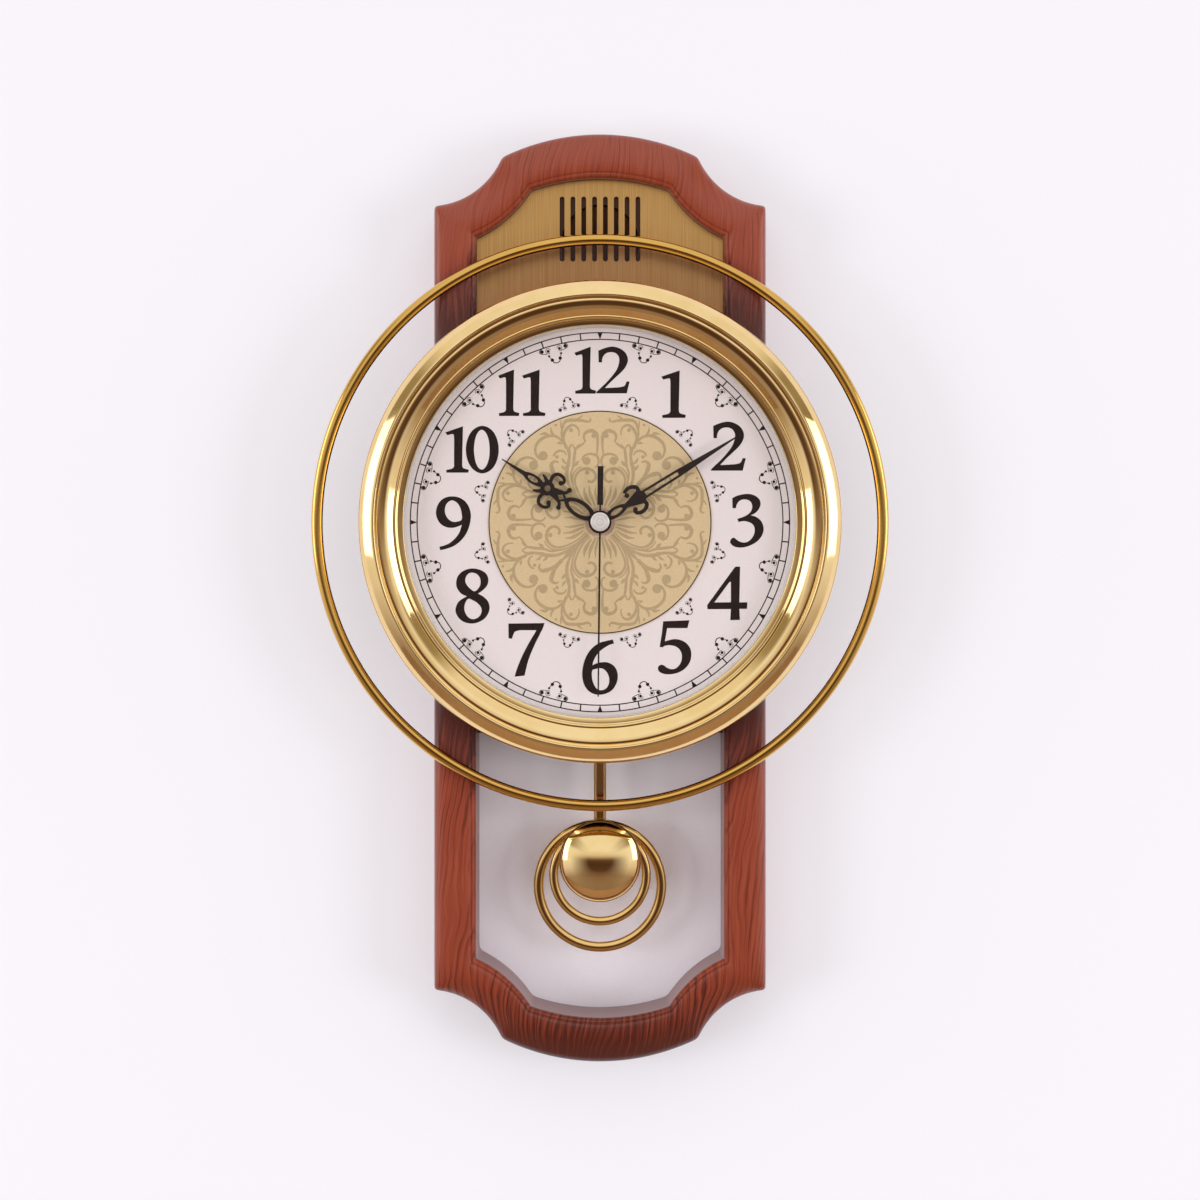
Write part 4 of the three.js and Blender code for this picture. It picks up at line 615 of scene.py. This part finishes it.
# profile of each piece, then its finish, the solid it stands for and its slot
dialForm = {
    "dialDisc": (
        [(5.3, 58.6), (118.4, 58.6), (118.4, 59.8), (5.3, 59.8)],
        "satinLacqueredDial", "dial_plate", "dial_silver",
    ),
    "medallionDisc": (
        [(8.4, 60.1), (64.2, 60.1), (64.2, 60.5), (64.1, 60.6), (8.4, 60.6)],
        "printedTanFoil", "dial_medallion", "medallion_tan",
    ),
    "glassSpacer": (
        [(111.8, 60.1), (115.8, 60.1), (115.8, 72.4), (111.8, 72.4)],
        "mouldedWhiteNylon", "glass_spacer_ring", "white_plastic",
    ),
    "dialGlass": (
        [(0, 72.7), (116.6, 72.7), (116.8, 72.9), (116.8, 74.5), (116.6, 74.7), (0, 74.7)],
        "floatGlass", "dial_glass", "clear_glass",
    ),
}
for name, (line, look, node, slot) in dialForm.items():
    makePiece(name, turned(line), look, node)

print("numerals and track")
# back and front of the ink, whose back is sunk in a little
inkForm = {"dial": (59.75, 59.87), "foil": (60.55, 60.66)}
# numeral outlines in tenths of a mm about each numeral's own middle. Runs are parted by semicolons:
# a run of one point is reached by a straight line, a longer run by a smooth one, and o is a smooth loop
numeralLines = {
    "0": [
        "o 94 0 87 -52 67 -97 36 -126 0 -137 -36 -126 -67 -97 -87 -52 -94 0 -87 52 -67 97 -36 126 0 "
        "137 36 126 67 97 87 52",
        "o 42 -1 39 -44 29 -81 14 -106 -3 -115 -20 -106 -35 -81 -44 -44 -48 -1 -44 43 -35 80 -20 105 "
        "-3 114 14 105 29 80 39 43",
    ],
    "1": [
        "-70 101; 35 137; 30 -93; 37 -110 70 -120; 67 -137; -63 -137; -65 -121; -32 -114 -19 -102 -18"
        " -85; -18 73; -24 91 -58 84",
    ],
    "2": [
        "-84 112; -39 129 1 135 41 124 73 99 87 63 79 28 56 -5 21 -38 -10 -67 -44 -102; -42 -104; 36 "
        "-100; 62 -94 73 -83 79 -66; 97 -67; 89 -98; 80 -135; -97 -135; -93 -125; -71 -104 -39 -74 -7"
        " -38 20 -2 34 34 37 66 25 90 6 101 -13 103 -33 99 -51 86 -61 66 -63 44; -82 44",
    ],
    "3": [
        "-85 130; -51 145 3 154 44 145 71 123 79 95 68 65 47 43 22 31; 55 20 83 -4 97 -45 87 -85 61 "
        "-118 21 -142 -20 -154 -57 -154 -83 -144 -97 -127 -95 -112 -86 -101 -75 -99 -67 -104 -48 -118"
        " -24 -126 3 -122 27 -103 43 -72 43 -39 29 -18 3 -6 -22 -3 -49 -8; -56 10; -31 18 -2 31 20 49"
        " 30 73 28 96 15 114 -8 122 -31 120 -49 108 -61 89 -64 72; -84 71",
    ],
    "4": [
        "50 154; 74 154; 70 -52; 116 -51; 114 -89; 70 -89; 73 -153; 17 -154; 21 -90; -114 -91; -116 "
        "-67; 44 151",
        "21 66; 21 -51; -75 -52; 13 66",
    ],
    "5": [
        "-66 149; 86 155; 74 110; -43 110; -56 34; -34 40 -1 47 36 41 68 23 91 -9 96 -49 86 -89 59 "
        "-123 22 -145 -21 -155 -62 -153 -87 -141 -96 -126 -93 -110 -80 -101 -64 -103 -44 -117 -18 "
        "-126 7 -121 29 -100 41 -70 40 -36 26 -10 2 6 -30 12 -59 7 -67 0; -86 1; -73 83",
    ],
    "6": [
        "74 159; 38 151 1 141 -34 120 -64 88 -85 49 -98 6 -103 -43 -95 -91 -74 -129 -42 -152 -5 -159 "
        "35 -152 73 -129 96 -91 103 -51 95 -14 72 14 38 28 1 27 -27 19 -43 10; -40 29 -25 61 -3 89 27"
        " 112 55 128 81 136",
        "o -45 -20 -23 -10 1 -6 25 -14 45 -39 54 -74 46 -109 27 -128 2 -133 -19 -124 -36 -98 -46 -63",
    ],
    "7": [
        "-104 151; 104 154; 94 124 78 92 58 52 38 9 20 -34 5 -80 -5 -121 -11 -147; -68 -154; -59 -121"
        " -43 -78 -23 -32 0 14 26 60 46 93 57 113; -37 113; -65 105 -75 89 -84 64; -103 66",
    ],
    "8": [
        "-34 -2; -66 14 -89 43 -95 78 -86 112 -62 139 -29 154 6 158 46 149 78 128 91 97 85 63 62 36 "
        "31 14; 60 -2 87 -28 98 -63 91 -98 69 -129 34 -150 -6 -158 -49 -149 -80 -126 -98 -91 -94 -56 "
        "-74 -26 -34 -2",
        "o 3 134 27 124 44 99 45 68 32 42 11 27 -13 41 -34 64 -43 91 -34 118 -17 132",
        "o -24 -16 1 -24 28 -41 49 -67 50 -97 34 -121 5 -133 -22 -124 -42 -98 -48 -66 -41 -36",
    ],
    "9": [
        "-76 -155; -81 -135; -49 -126 -17 -110 11 -85 34 -53 49 -8; 26 -18 -6 -26 -40 -22 -72 -5 -93 "
        "25 -101 61 -93 100 -72 132 -41 150 -6 155 34 148 69 125 91 91 101 48 96 2 83 -41 63 -76 37 "
        "-105 6 -128 -32 -144 -76 -155",
        "o -6 132 19 120 37 95 47 60 48 22 26 11 3 8 -22 18 -42 42 -50 74 -43 106 -26 125",
    ],
}
# numeral, middle and size on the dial in tenths of a mm
numeralPlaces = [
    ("1", -85, 875, 125, 270), ("2", 74, 876, 193, 269), ("1", 423, 737, 141, 273),
    ("2", 738, 438, 201, 282), ("3", 845, 9, 193, 309), ("4", 732, -409, 231, 308),
    ("5", 429, -719, 192, 311), ("6", 0, -833, 205, 318), ("7", -423, -734, 208, 309),
    ("8", -733, -424, 196, 317), ("9", -843, -6, 201, 310), ("1", -822, 419, 135, 267),
    ("0", -677, 418, 189, 274), ("1", -525, 745, 122, 267), ("1", -381, 745, 135, 267),
]


def numeralOutline(text):
    if text.startswith("o"):
        return smoothLine(np.array(text[1:].split(), float).reshape(-1, 2), 4, True)
    runs = [np.array(run.split(), float).reshape(-1, 2) for run in text.split(";")]
    line = [runs[0][-1:]]
    for run in runs[1:]:
        reached = np.vstack((line[-1][-1:], run))
        line.append(run if len(run) == 1 else smoothLine(reached, 5)[1:])
    whole = np.vstack(line)
    return whole[:-1] if np.allclose(whole[0], whole[-1]) else whole


numeralShapes = []
for numeral, x, z, width, height in numeralPlaces:
    lines = [numeralOutline(text) for text in numeralLines[numeral]]
    low = lines[0].min(0)
    high = lines[0].max(0)
    fit = np.array((width, height)) / (high - low)
    numeralShapes.append([((line - (low + high) / 2) * fit + (x, z)) / 10 + dialAxis for line in lines])
numerals = joinedSheet(numeralShapes, *inkForm["dial"])
makePiece("numerals", numerals, "screenPrintedBlackInk", None)

# a triangle at every fifth minute comes to a point at the inner line
trackForm = {"outer": 109.07, "inner": 105.21, "line": 0.62, "tick": 0.72, "triangle": 2.9, "point": 0.04}


# shapes drawn above the dial's middle, set upright on a circle of the dial and turned clockwise round it
def aroundDial(shapes, radius, degrees):
    return [[turnedAbout(line + (0, radius), -degrees) + dialAxis for line in shape] for shape in shapes]


trackShapes = []
tick = np.array([(0, trackForm["inner"]), (0, trackForm["outer"])])
for minute in range(60):
    width = (trackForm["point"], trackForm["triangle"]) if minute % 5 == 0 else trackForm["tick"]
    trackShapes += aroundDial(stroke(tick, np.array(width) / 2), 0, 6 * minute)
for radius in (trackForm["outer"], trackForm["inner"]):
    half = trackForm["line"] / 2
    trackShapes.append([*disc(*dialAxis, radius + half, 256), *disc(*dialAxis, radius - half, 256)])

# One small spray, half of it given in photo pixels along the rim and outwards: dots, then fine lines with
# half their width. Sprays stand on two circles, given by size and radius, and the inner ones hang downwards.
sprayForm = {
    "pixel": 0.57494,
    "dots": [(12.1, 5.1, 1.9), (5.8, 4.1, 1.5), (6.2, -0.9, 1.15), (4.05, -5.4, 1.75)],
    "lines": [
        ([(7.6, 1.6), (9.8, 2.2), (11.8, 2.6), (13.8, 3.4), (14.6, 5.2), (13.4, 7.2), (11.4, 7.4)], 0.3),
        ([(3.2, 4.8), (4.4, 6.6), (6.6, 6.8), (8.2, 5.2), (8.0, 3.0), (6.4, 1.6), (4.4, 2.0)], 0.24),
        ([(4.8, -3.6), (5.9, -2.2), (6.2, -0.9)], 0.3),
        ([(3.6, -6.6), (2.9, -8.2), (0, -9.4)], 0.45),
    ],
    "circles": [(1.0, 174.4), (-0.75, 122.5)],
}
sprayShapes = [disc(side * x, z, radius, 12) for x, z, radius in sprayForm["dots"] for side in (1, -1)]
for line, half in sprayForm["lines"]:
    for side in (1, -1):
        sprayShapes += stroke(smoothLine(np.array(line) * (side, 1), 4), half)
unit = sprayForm["pixel"]
for place in range(12):
    for size, radius in sprayForm["circles"]:
        sized = [[line * size * unit for line in shape] for shape in sprayShapes]
        trackShapes += aroundDial(sized, radius * unit, 15 + 30 * place)
track = joinedSheet(trackShapes, *inkForm["dial"])
makePiece("minuteTrack", track, "screenPrintedBlackInk", None)

print("medallion scrolls")
# a tenth of the medallion's radius in mm, how heavy its lines are, and its border's two radii and back
scrollForm = {"unit": 6.42, "weight": 0.84, "border": (63.5, 64.05), "borderBack": 60.5}
# scrolls of one eighth of the medallion in tenths of its radius: points, then half widths along the line
scrollLines = [
    ("0.16 1.35 0.3 2.0 0.42 2.6 0.4 3.2", (0.05, 0.15, 0.04)),
    ("0.4 1.4 0.66 2.0 0.9 2.6 0.98 3.3", (0.06, 0.2, 0.05)),
    ("0.75 1.5 1.1 2.0 1.38 2.6 1.42 3.1", (0.05, 0.2, 0.05)),
    (
        "0.9 1.3 1.5 1.9 2.0 2.8 2.25 3.6 2.15 4.2 1.75 4.65 1.2 4.8 0.7 4.65 0.4 4.25 0.45 3.85 0.75 3.62 "
        "1.1 3.7",
        (0.06, 0.17, 0.13),
    ),
    ("1.0 1.15 1.75 1.9 2.3 2.9 2.5 3.8 2.35 4.4 1.95 4.85 1.65 4.98", (0.06, 0.11, 0.05)),
    ("1.1 1.1 1.95 2.0 2.6 3.0 2.95 3.9 2.95 4.8 2.85 5.3 2.75 5.8 2.85 6.4 3.1 7.0", (0.07, 0.2, 0.1)),
    ("1.15 1.05 2.15 2.0 2.85 2.75 3.3 3.3 3.7 3.62", (0.06, 0.17, 0.05)),
    ("2.45 3.4 2.6 4.3 2.4 5.0 2.3 5.9 2.2 6.5 2.05 6.75 1.8 7.0", (0.07, 0.16, 0.07)),
    ("2.25 6.5 2.5 6.95 2.75 6.6 2.7 6.0 2.75 5.0", (0.07, 0.12, 0.07)),
    ("2.3 5.0 2.1 5.25 1.9 5.5", (0.05, 0.2, 0.04)),
    ("0.45 4.9 0.2 5.1 0.12 5.5 0.3 5.95 0.85 6.12 1.4 5.95 1.62 5.55", (0.08, 0.14, 0.1)),
    ("0.3 6.0 0.22 6.8 0.22 7.5 0.35 7.95 0.8 8.2 1.3 8.0 1.45 7.6 1.3 7.2", (0.08, 0.22, 0.09)),
    ("1.35 7.2 1.5 7.05 1.75 6.85 2.05 6.6", (0.06, 0.12, 0.07)),
    ("3.3 3.45 3.75 3.85 4.1 4.3 4.3 4.8 4.35 5.2 4.05 5.45 3.7 5.35", (0.08, 0.24, 0.08)),
    ("3.0 4.6 3.25 4.85 3.45 5.1", (0.05, 0.17, 0.04)),
    ("3.0 5.2 3.25 5.45 3.4 5.75", (0.05, 0.15, 0.04)),
    ("3.0 6.0 3.2 6.3 3.6 6.4 4.0 6.2 4.15 5.9", (0.07, 0.13, 0.1)),
    ("3.1 6.9 3.3 7.1 3.7 7.55 4.3 7.75 5.0 7.6 5.6 7.1 5.8 6.5 5.65 5.95 5.35 5.65", (0.08, 0.18, 0.1)),
    ("4.5 7.7 4.9 7.95 5.4 7.85", (0.06, 0.17, 0.04)),
    ("3.0 6.6 3.15 7.0 3.3 7.5 3.2 8.0 2.9 8.45 2.5 8.7 2.1 8.55 1.9 8.2 1.88 7.75", (0.15, 0.17, 0.06)),
    ("3.4 7.0 3.65 7.1 3.85 7.05", (0.05, 0.14, 0.03)),
    (
        "3.4 7.4 3.45 8.0 3.35 8.5 3.2 8.9 2.9 9.1 2.2 9.15 1.6 9.1 1.1 9.0 0.85 9.15 0.9 9.35",
        (0.08, 0.18, 0.07),
    ),
    ("2.1 9.15 1.8 9.38 1.55 9.55", (0.12, 0.1, 0.03)),
    ("3.4 8.3 3.5 8.75 3.5 9.15", (0.12, 0.1, 0.03)),
    ("4.1 7.75 4.35 8.1 4.4 8.5", (0.12, 0.13, 0.04)),
]
scrollBalls = [
    (1.15, 4.45, 0.2), (1.2, 5.5, 0.36), (0.55, 7.75, 0.22), (5.1, 5.95, 0.42),
    (3.85, 5.85, 0.16), (2.6, 8.25, 0.18), (3.95, 8.7, 0.12),
]
eighth = [disc(x, z, radius, 14) for x, z, radius in scrollBalls]
for text, widths in scrollLines:
    path = smoothLine(np.array(text.split(), float).reshape(-1, 2), 5)
    half = scrollForm["weight"] * np.interp(np.linspace(0, 1, len(path)), (0, 0.5, 1), widths)
    eighth += stroke(path, half, 5)
# the eighth is mirrored across both axes, and all of those across the diagonal
mirrors = [np.array([[x, 0], [0, z]]) for x in (1, -1) for z in (1, -1)]
mirrors += [mirror @ np.array([[0, 1], [1, 0]]) for mirror in mirrors]
unit = scrollForm["unit"]
whole = [[line @ mirror * unit + dialAxis for line in shape] for shape in eighth for mirror in mirrors]
scrolls = joinedSheet(whole, *inkForm["foil"])
makePiece("medallionScrolls", scrolls, "screenPrintedUmberInk", None)
near, far = scrollForm["border"]
back = scrollForm["borderBack"]
front = inkForm["foil"][1]
borderRing = turned([(near, back), (far, back), (far, front), (near, front)])
makePiece("medallionBorder", borderRing, "screenPrintedBlackInk", None)

print("hands")
softEdge = {"width": 0.12, "segments": 2, "angle": 50}  # bevel in mm and degrees


# an oval from one end to the other along the hand, with its ends drawn to soft points
def leafLine(start, end, half, steps=40):
    turn = np.arange(steps) * 2 * math.pi / steps
    along = (start + end) / 2 - (end - start) / 2 * np.cos(turn)
    return np.stack((half * np.sin(turn) * np.abs(np.sin(turn)) ** 0.25, along), 1)


# shapes and half shapes in hundredths of the hand's length, pointing up before the hand is turned
def handPiece(name, form, body, node):
    shapes = [[np.asarray(line, float) for line in shape] for shape in form["shapes"]]
    for side in (1, -1):
        for line, first, last in form.get("lines", []):
            path = smoothLine(np.array(line) * (side, 1), 5)
            shapes += stroke(path, np.linspace(first, last, len(path)))
        shapes += [disc(side * x, z, radius) for x, z, radius in form.get("balls", [])]
    sized = [[line * form["length"] / 100 for line in shape] for shape in shapes]
    sized.append(disc(0, 0, form["hub"], 64))
    placed = [[turnedAbout(line, form["angle"]) + dialAxis for line in shape] for shape in sized]
    sheet = joinedSheet(placed, form["back"], form["front"])
    hand = makePiece(name, sheet, "stoveEnamelledSteel", node, body)
    soft = hand.modifiers.new("softEdge", "BEVEL")
    soft.width = softEdge["width"] * mm
    soft.segments = softEdge["segments"]
    soft.limit_method = "ANGLE"
    soft.angle_limit = math.radians(softEdge["angle"])


hourForm = {
    "length": 66.8, "angle": 57.3, "back": 64.0, "front": 64.9, "hub": 6.6,
    "shapes": [
        [leafLine(5, 36.2, 7.4), leafLine(10.4, 31.8, 4.1)],
        [[(0, 33), (4.4, 39.6), (2.5, 45), (2.7, 50), (-2.7, 50), (-2.5, 45), (-4.4, 39.6)],
         [(0, 36.6), (2.5, 39.8), (0, 43.4), (-2.5, 39.8)]],
        [*disc(0, 53.5, 6.2, 40), *disc(0, 53.5, 2.6, 24)],
        [leafLine(57, 78.5, 4.1), leafLine(63.4, 73.5, 2.0)],
        [[(2.0, 75.5), (0.45, 100), (-0.45, 100), (-2.0, 75.5)]],
    ],
    "lines": [
        ([(4.0, 53.9), (6.6, 54.7), (11.4, 55.1), (15.0, 52.6), (15.3, 47.6), (12.9, 44.7), (10.4, 44.9)],
         1.6, 1.35),
        ([(3.6, 55.4), (6.3, 59.4), (8.0, 63.4)], 2.2, 0.8),
        ([(2.4, 49.5), (3.4, 42.6), (4.9, 38.6), (8.4, 36.6)], 1.5, 1.4),
    ],
    "balls": [(9.9, 46.2, 2.1), (8.8, 36.8, 2.1)],
}
handPiece("hourHand", hourForm, "hour_train", "hour_hand")

minuteForm = {
    "length": 91.4, "angle": -58.1, "back": 66.2, "front": 67.1, "hub": 6.6,
    "shapes": [
        [leafLine(2.7, 20.4, 3.3), leafLine(7.7, 16.6, 1.5)],
        [smoothLine([(0.9, 17), (2.2, 22), (3.5, 26), (4.4, 29.3), (3.3, 32), (0, 33.6),
                     (-3.3, 32), (-4.4, 29.3), (-3.5, 26), (-2.2, 22), (-0.9, 17)], 4)],
        [[(2.8, 29.5), (2.5, 57), (0.45, 100), (-0.45, 100), (-2.5, 57), (-2.8, 29.5)],
         [(-1.25, 33.6), (1.25, 33.6), (0.95, 57.6), (-0.95, 57.6)]],
    ],
    "lines": [([(3.2, 30.4), (6.0, 30.9), (8.1, 28.4), (8.5, 25.2), (7.1, 22.4), (5.4, 22.2)], 1.3, 1.1)],
    "balls": [(5.1, 23.0, 1.5)],
}
handPiece("minuteHand", minuteForm, "minute_train", "minute_hand")

secondForm = {
    "length": 100.0, "angle": -180.6, "back": 68.4, "front": 69.3, "hub": 4.8,
    "shapes": [
        [[(0.55, -10), (0.55, 60), (0.4, 100), (-0.4, 100), (-0.55, 60), (-0.55, -10)]],
        [[(1.65, -31.9), (1.65, -9.7), (-1.65, -9.7), (-1.65, -31.9)]],
    ],
}
handPiece("secondHand", secondForm, "second_train", "second_hand")

capForm = {"radius": 5.4, "back": 69.6, "shoulder": 70.1, "front": 71.0, "edge": (1.0, 0.75)}
capTurn = np.linspace(0, math.pi / 2, 10)
across, rise = capForm["edge"]
capEdge = np.stack((across * np.cos(capTurn) - across, rise * np.sin(capTurn)), 1)
capEdge += (capForm["radius"], capForm["shoulder"])
capFoot = [(0, capForm["back"]), (capForm["radius"], capForm["back"])]
cap = turned(np.vstack((capFoot, capEdge, [(0, capForm["front"])])), segments=96)
makePiece("handCap", cap, "spunSteel", "hand_cap", "second_train")

print("pendulum")
rodForm = {
    "top": -197.6, "bottom": -357.5, "blur": 0.1, "step": 0.12,
    "section": [
        (-3.6, 24.3), (3.6, 24.3), (3.6, 25.4), (2.85, 26.1), (2.1, 25.4),
        (-2.1, 25.4), (-2.85, 26.1), (-3.6, 25.4),
    ],
}
section, step = evenSteps(rodForm["section"], rodForm["step"])
section = softened(section, rodForm["blur"], step)
count = len(section)
z = np.repeat([rodForm["bottom"], rodForm["top"]], count)
points = np.stack((np.tile(section[:, 0], 2), -np.tile(section[:, 1], 2), z), 1)
ends = [list(range(count))[::-1], list(range(count, 2 * count))]
rod = points, gridFaces(2, count, False, True).tolist() + ends
makePiece("pendulumRod", rod, "giltLacqueredBrass", "pendulum_rod", "pendulum")


# an oval section of a ring, given by the middle of the tube and its half sizes
def ovalSection(radius, halfWidth, depth, halfDepth, steps=40):
    turn = np.arange(steps) * 2 * math.pi / steps
    return np.stack((radius + halfWidth * np.cos(turn), depth + halfDepth * np.sin(turn)), 1)


# outer radius, half the tube's width, depth of its middle, half its depth, and the ring's middle in z
bobForm = {"outer": (38.9, 2.95, 28.6, 2.2, -390.5), "middle": (29.7, 2.65, 33.2, 2.1, -383.9)}
for name, (radius, halfWidth, depth, halfDepth, z) in bobForm.items():
    ring = turned(ovalSection(radius - halfWidth, halfWidth, depth, halfDepth), (0, z))
    node = "bob_" + name + "_ring"
    makePiece(name + "BobRing", ring, "giltLacqueredBrass", node, "pendulum")
# a shallow part of a ball on a flat rim, whose soft edge is given from its outer corner at the back
domeForm = {
    "radius": 23.9, "lip": 1.1, "rim": 1.4, "height": 8.4, "back": 35.6, "z": -375.5,
    "edge": [(-0.4, 0), (0, 0.4), (0, 1.1), (-0.4, 1.5), (-0.9, 1.5)],
}
reach = domeForm["radius"] - domeForm["lip"]
ball = (reach**2 + domeForm["height"] ** 2) / (2 * domeForm["height"])
turn = np.linspace(math.asin(reach / ball), 0, 40)
front = domeForm["back"] + domeForm["rim"] + domeForm["height"]
domeLine = np.stack((ball * np.sin(turn), front - ball * (1 - np.cos(turn))), 1)
edgeLine = np.array(domeForm["edge"]) + (domeForm["radius"], domeForm["back"])
dome = turned(np.vstack(([(0, domeForm["back"])], edgeLine, domeLine)), (0, domeForm["z"]))
makePiece("bobDome", dome, "polishedGoldPlate", "bob_dome", "pendulum")

print("stage, light and camera")
stageForm = {
    "wall": "#f1f2f9", "plain": "#f8f4fb", "plainShare": 0.4, "boards": "#997c65",
    "wallPlace": 1.5, "floor": -2600.0, "floorFront": -1200.0, "half": 4000.0,
}


def stagePlane(name, corners, look):
    mesh = bpy.data.meshes.new(name)
    mesh.from_pydata((np.array(corners) * mm).tolist(), [], [[0, 1, 2, 3]])
    mesh.materials.append(finishes[look])
    plane = bpy.data.objects.new(name, mesh)
    bpy.context.scene.collection.objects.link(plane)


# Matt emulsion wall: pale, seen from the front only, and it lets lamps through from behind. Metal and glass
# show it as plain white, and the camera sees two fifths of that, so shadows stay light.
emulsion = {"Roughness": 0.9, "Base Color": linear(stageForm["wall"])}
tree, surface = newFinish("mattEmulsion", emulsion)
rays = addNode(tree, "LightPath").node.outputs
back = addNode(tree, "NewGeometry", out="Backfacing")
hidden = addNode(tree, "Math", {0: back, 1: rays["Is Shadow Ray"]}, operation="MAXIMUM")
clear = addNode(tree, "BsdfTransparent")
glow = addNode(tree, "Emission", {"Color": linear(stageForm["plain"]), "Strength": 1.0})
share = {0: rays["Is Camera Ray"], 1: stageForm["plainShare"]}
share = addNode(tree, "Math", share, operation="MULTIPLY")
share = addNode(tree, "Math", {0: share, 1: rays["Is Glossy Ray"]}, operation="MAXIMUM")
lit = addNode(tree, "MixShader", {0: share, 1: surface.outputs[0], 2: glow})
mixed = addNode(tree, "MixShader", {0: hidden, 1: lit, 2: clear})
fillSockets(tree.nodes["Material Output"], {"Surface": mixed})
# matt floor: as pale as the wall to the camera, and warm boards to everything else
tree, surface = newFinish("mattPaleFloor", {"Roughness": 0.9})
seen = addNode(tree, "LightPath", out="Is Camera Ray")
boards = {0: seen, 6: linear(stageForm["boards"]), 7: linear(stageForm["wall"])}
fillSockets(surface, {"Base Color": addNode(tree, "Mix", boards, 2, data_type="RGBA")})
side = stageForm["half"]
wallY = stageForm["wallPlace"]
near = stageForm["floorFront"]
low = stageForm["floor"]
wallCorners = [(-side, wallY, low), (side, wallY, low), (side, wallY, side), (-side, wallY, side)]
stagePlane("wall", wallCorners, "mattEmulsion")
floorCorners = [(-side, near, low), (side, near, low), (side, side, low), (-side, side, low)]
stagePlane("floor", floorCorners, "mattPaleFloor")

lampTarget = (0, 0, -0.2)
# place, width and height in metres, power in watts, and whether the gold shows the lamp
lampForms = {
    "leftBox": ((-2.0, -2.0, -0.45), 1.0, 1.0, 18.5, False),
    "rightBox": ((2.0, -2.0, -0.45), 1.0, 1.0, 18.5, False),
    "leftCard": ((-2.4, -0.5, 0.25), 1.1, 1.5, 11, True),
    "rightCard": ((2.4, -0.5, 0.25), 1.1, 1.5, 11, True),
    "frontBox": ((0, -3.0, -0.7), 3.0, 2.0, 18.5, False),
    "rearBox": ((0, 1.6, -0.1), 1.0, 1.0, 12, True),
}
for name, (place, width, height, power, mirrored) in lampForms.items():
    lamp = bpy.data.lights.new(name, "AREA")
    lamp.shape = "RECTANGLE"
    lamp.size = width
    lamp.size_y = height
    lamp.energy = power
    holder = bpy.data.objects.new(name, lamp)
    aim = np.array(lampTarget) - place
    flat = math.hypot(aim[0], aim[1])
    holder.rotation_euler = (math.atan2(flat, -aim[2]), 0, math.atan2(-aim[0], aim[1]))
    holder.location = place
    holder.visible_glossy = mirrored
    bpy.context.scene.collection.objects.link(holder)

world = bpy.data.worlds.new("studio")
bpy.context.scene.world = world
world.use_nodes = True
tree = world.node_tree
# Bright all round and above, with a dim room in front of the clock, so that the gold has something to show.
# Room and sides have a colour for each height of the direction, from straight down (0) to straight up (1).
# The room's upper corners are dimmer and fade out towards its middle. Their colours go by the turn from
# straight up (0) over the side (0.5) to straight down (1).
roomForm = {
    "room": [
        (0.0, "#8c7160"), (0.22, "#836753"), (0.32, "#5b4335"), (0.42, "#513a2e"), (0.48, "#5e4738"),
        (0.51, "#877263"), (0.54, "#c4b8ae"), (0.58, "#ece5df"), (0.65, "#ffffff"),
    ],
    "sides": [(0.0, "#8a7568"), (0.25, "#a8968b"), (0.38, "#ebe4e2"), (0.48, "#ffffff")],
    "corners": [(0.0, "#ffffff"), (0.23, "#f4efe6"), (0.28, "#a3977f"), (0.35, "#9a8d74"), (0.39, "#ffffff")],
    "strength": 0.95,
}
direction = addNode(tree, "TexCoord", out="Generated")
split = addNode(tree, "SeparateXYZ", {"Vector": direction}).node.outputs
level = addNode(tree, "MapRange", {"Value": split["Z"], "From Min": -1.0, "From Max": 1.0})
aside = addNode(tree, "Math", {0: split["X"]}, operation="ABSOLUTE")
turn = addNode(tree, "Math", {0: aside, 1: split["Z"]}, operation="ARCTAN2")
turn = addNode(tree, "Math", {0: turn, 1: math.pi}, operation="DIVIDE")
tones = {}
for name, value in (("room", level), ("sides", level), ("corners", turn)):
    tones[name] = addNode(tree, "ValToRGB", {"Fac": value})
    setStops(tones[name], roomForm[name])
ahead = addNode(tree, "MapRange", {"Value": split["Y"], "From Min": -0.5, "From Max": -0.92})
around = addNode(tree, "Mix", {0: ahead, 6: tones["sides"], 7: tones["room"]}, 2, data_type="RGBA")
fade = addNode(tree, "MapRange", {"Value": split["Y"], "From Min": -0.9, "From Max": -0.35})
dimmed = {0: fade, 6: around, 7: tones["corners"]}
around = addNode(tree, "Mix", dimmed, 2, data_type="RGBA", blend_type="MULTIPLY")
# from behind, the camera sees a background as pale as the wall
seen = addNode(tree, "LightPath", out="Is Camera Ray")
shown = {0: seen, 6: around, 7: linear(stageForm["wall"])}
shown = addNode(tree, "Mix", shown, 2, data_type="RGBA")
fillSockets(tree.nodes["Background"], {"Color": shown, "Strength": roomForm["strength"]})

cameraForm = {"lens": 85.55, "sensor": 36, "place": (0, -1.7, -0.2232)}
camera = bpy.data.cameras.new("camera")
camera.lens = cameraForm["lens"]
camera.sensor_width = cameraForm["sensor"]
cameraHolder = bpy.data.objects.new("camera", camera)
cameraHolder.location = cameraForm["place"]
cameraHolder.rotation_euler = (math.pi / 2, 0, 0)
bpy.context.scene.collection.objects.link(cameraHolder)
bpy.context.scene.camera = cameraHolder
bpy.context.scene.view_settings.view_transform = "Standard"
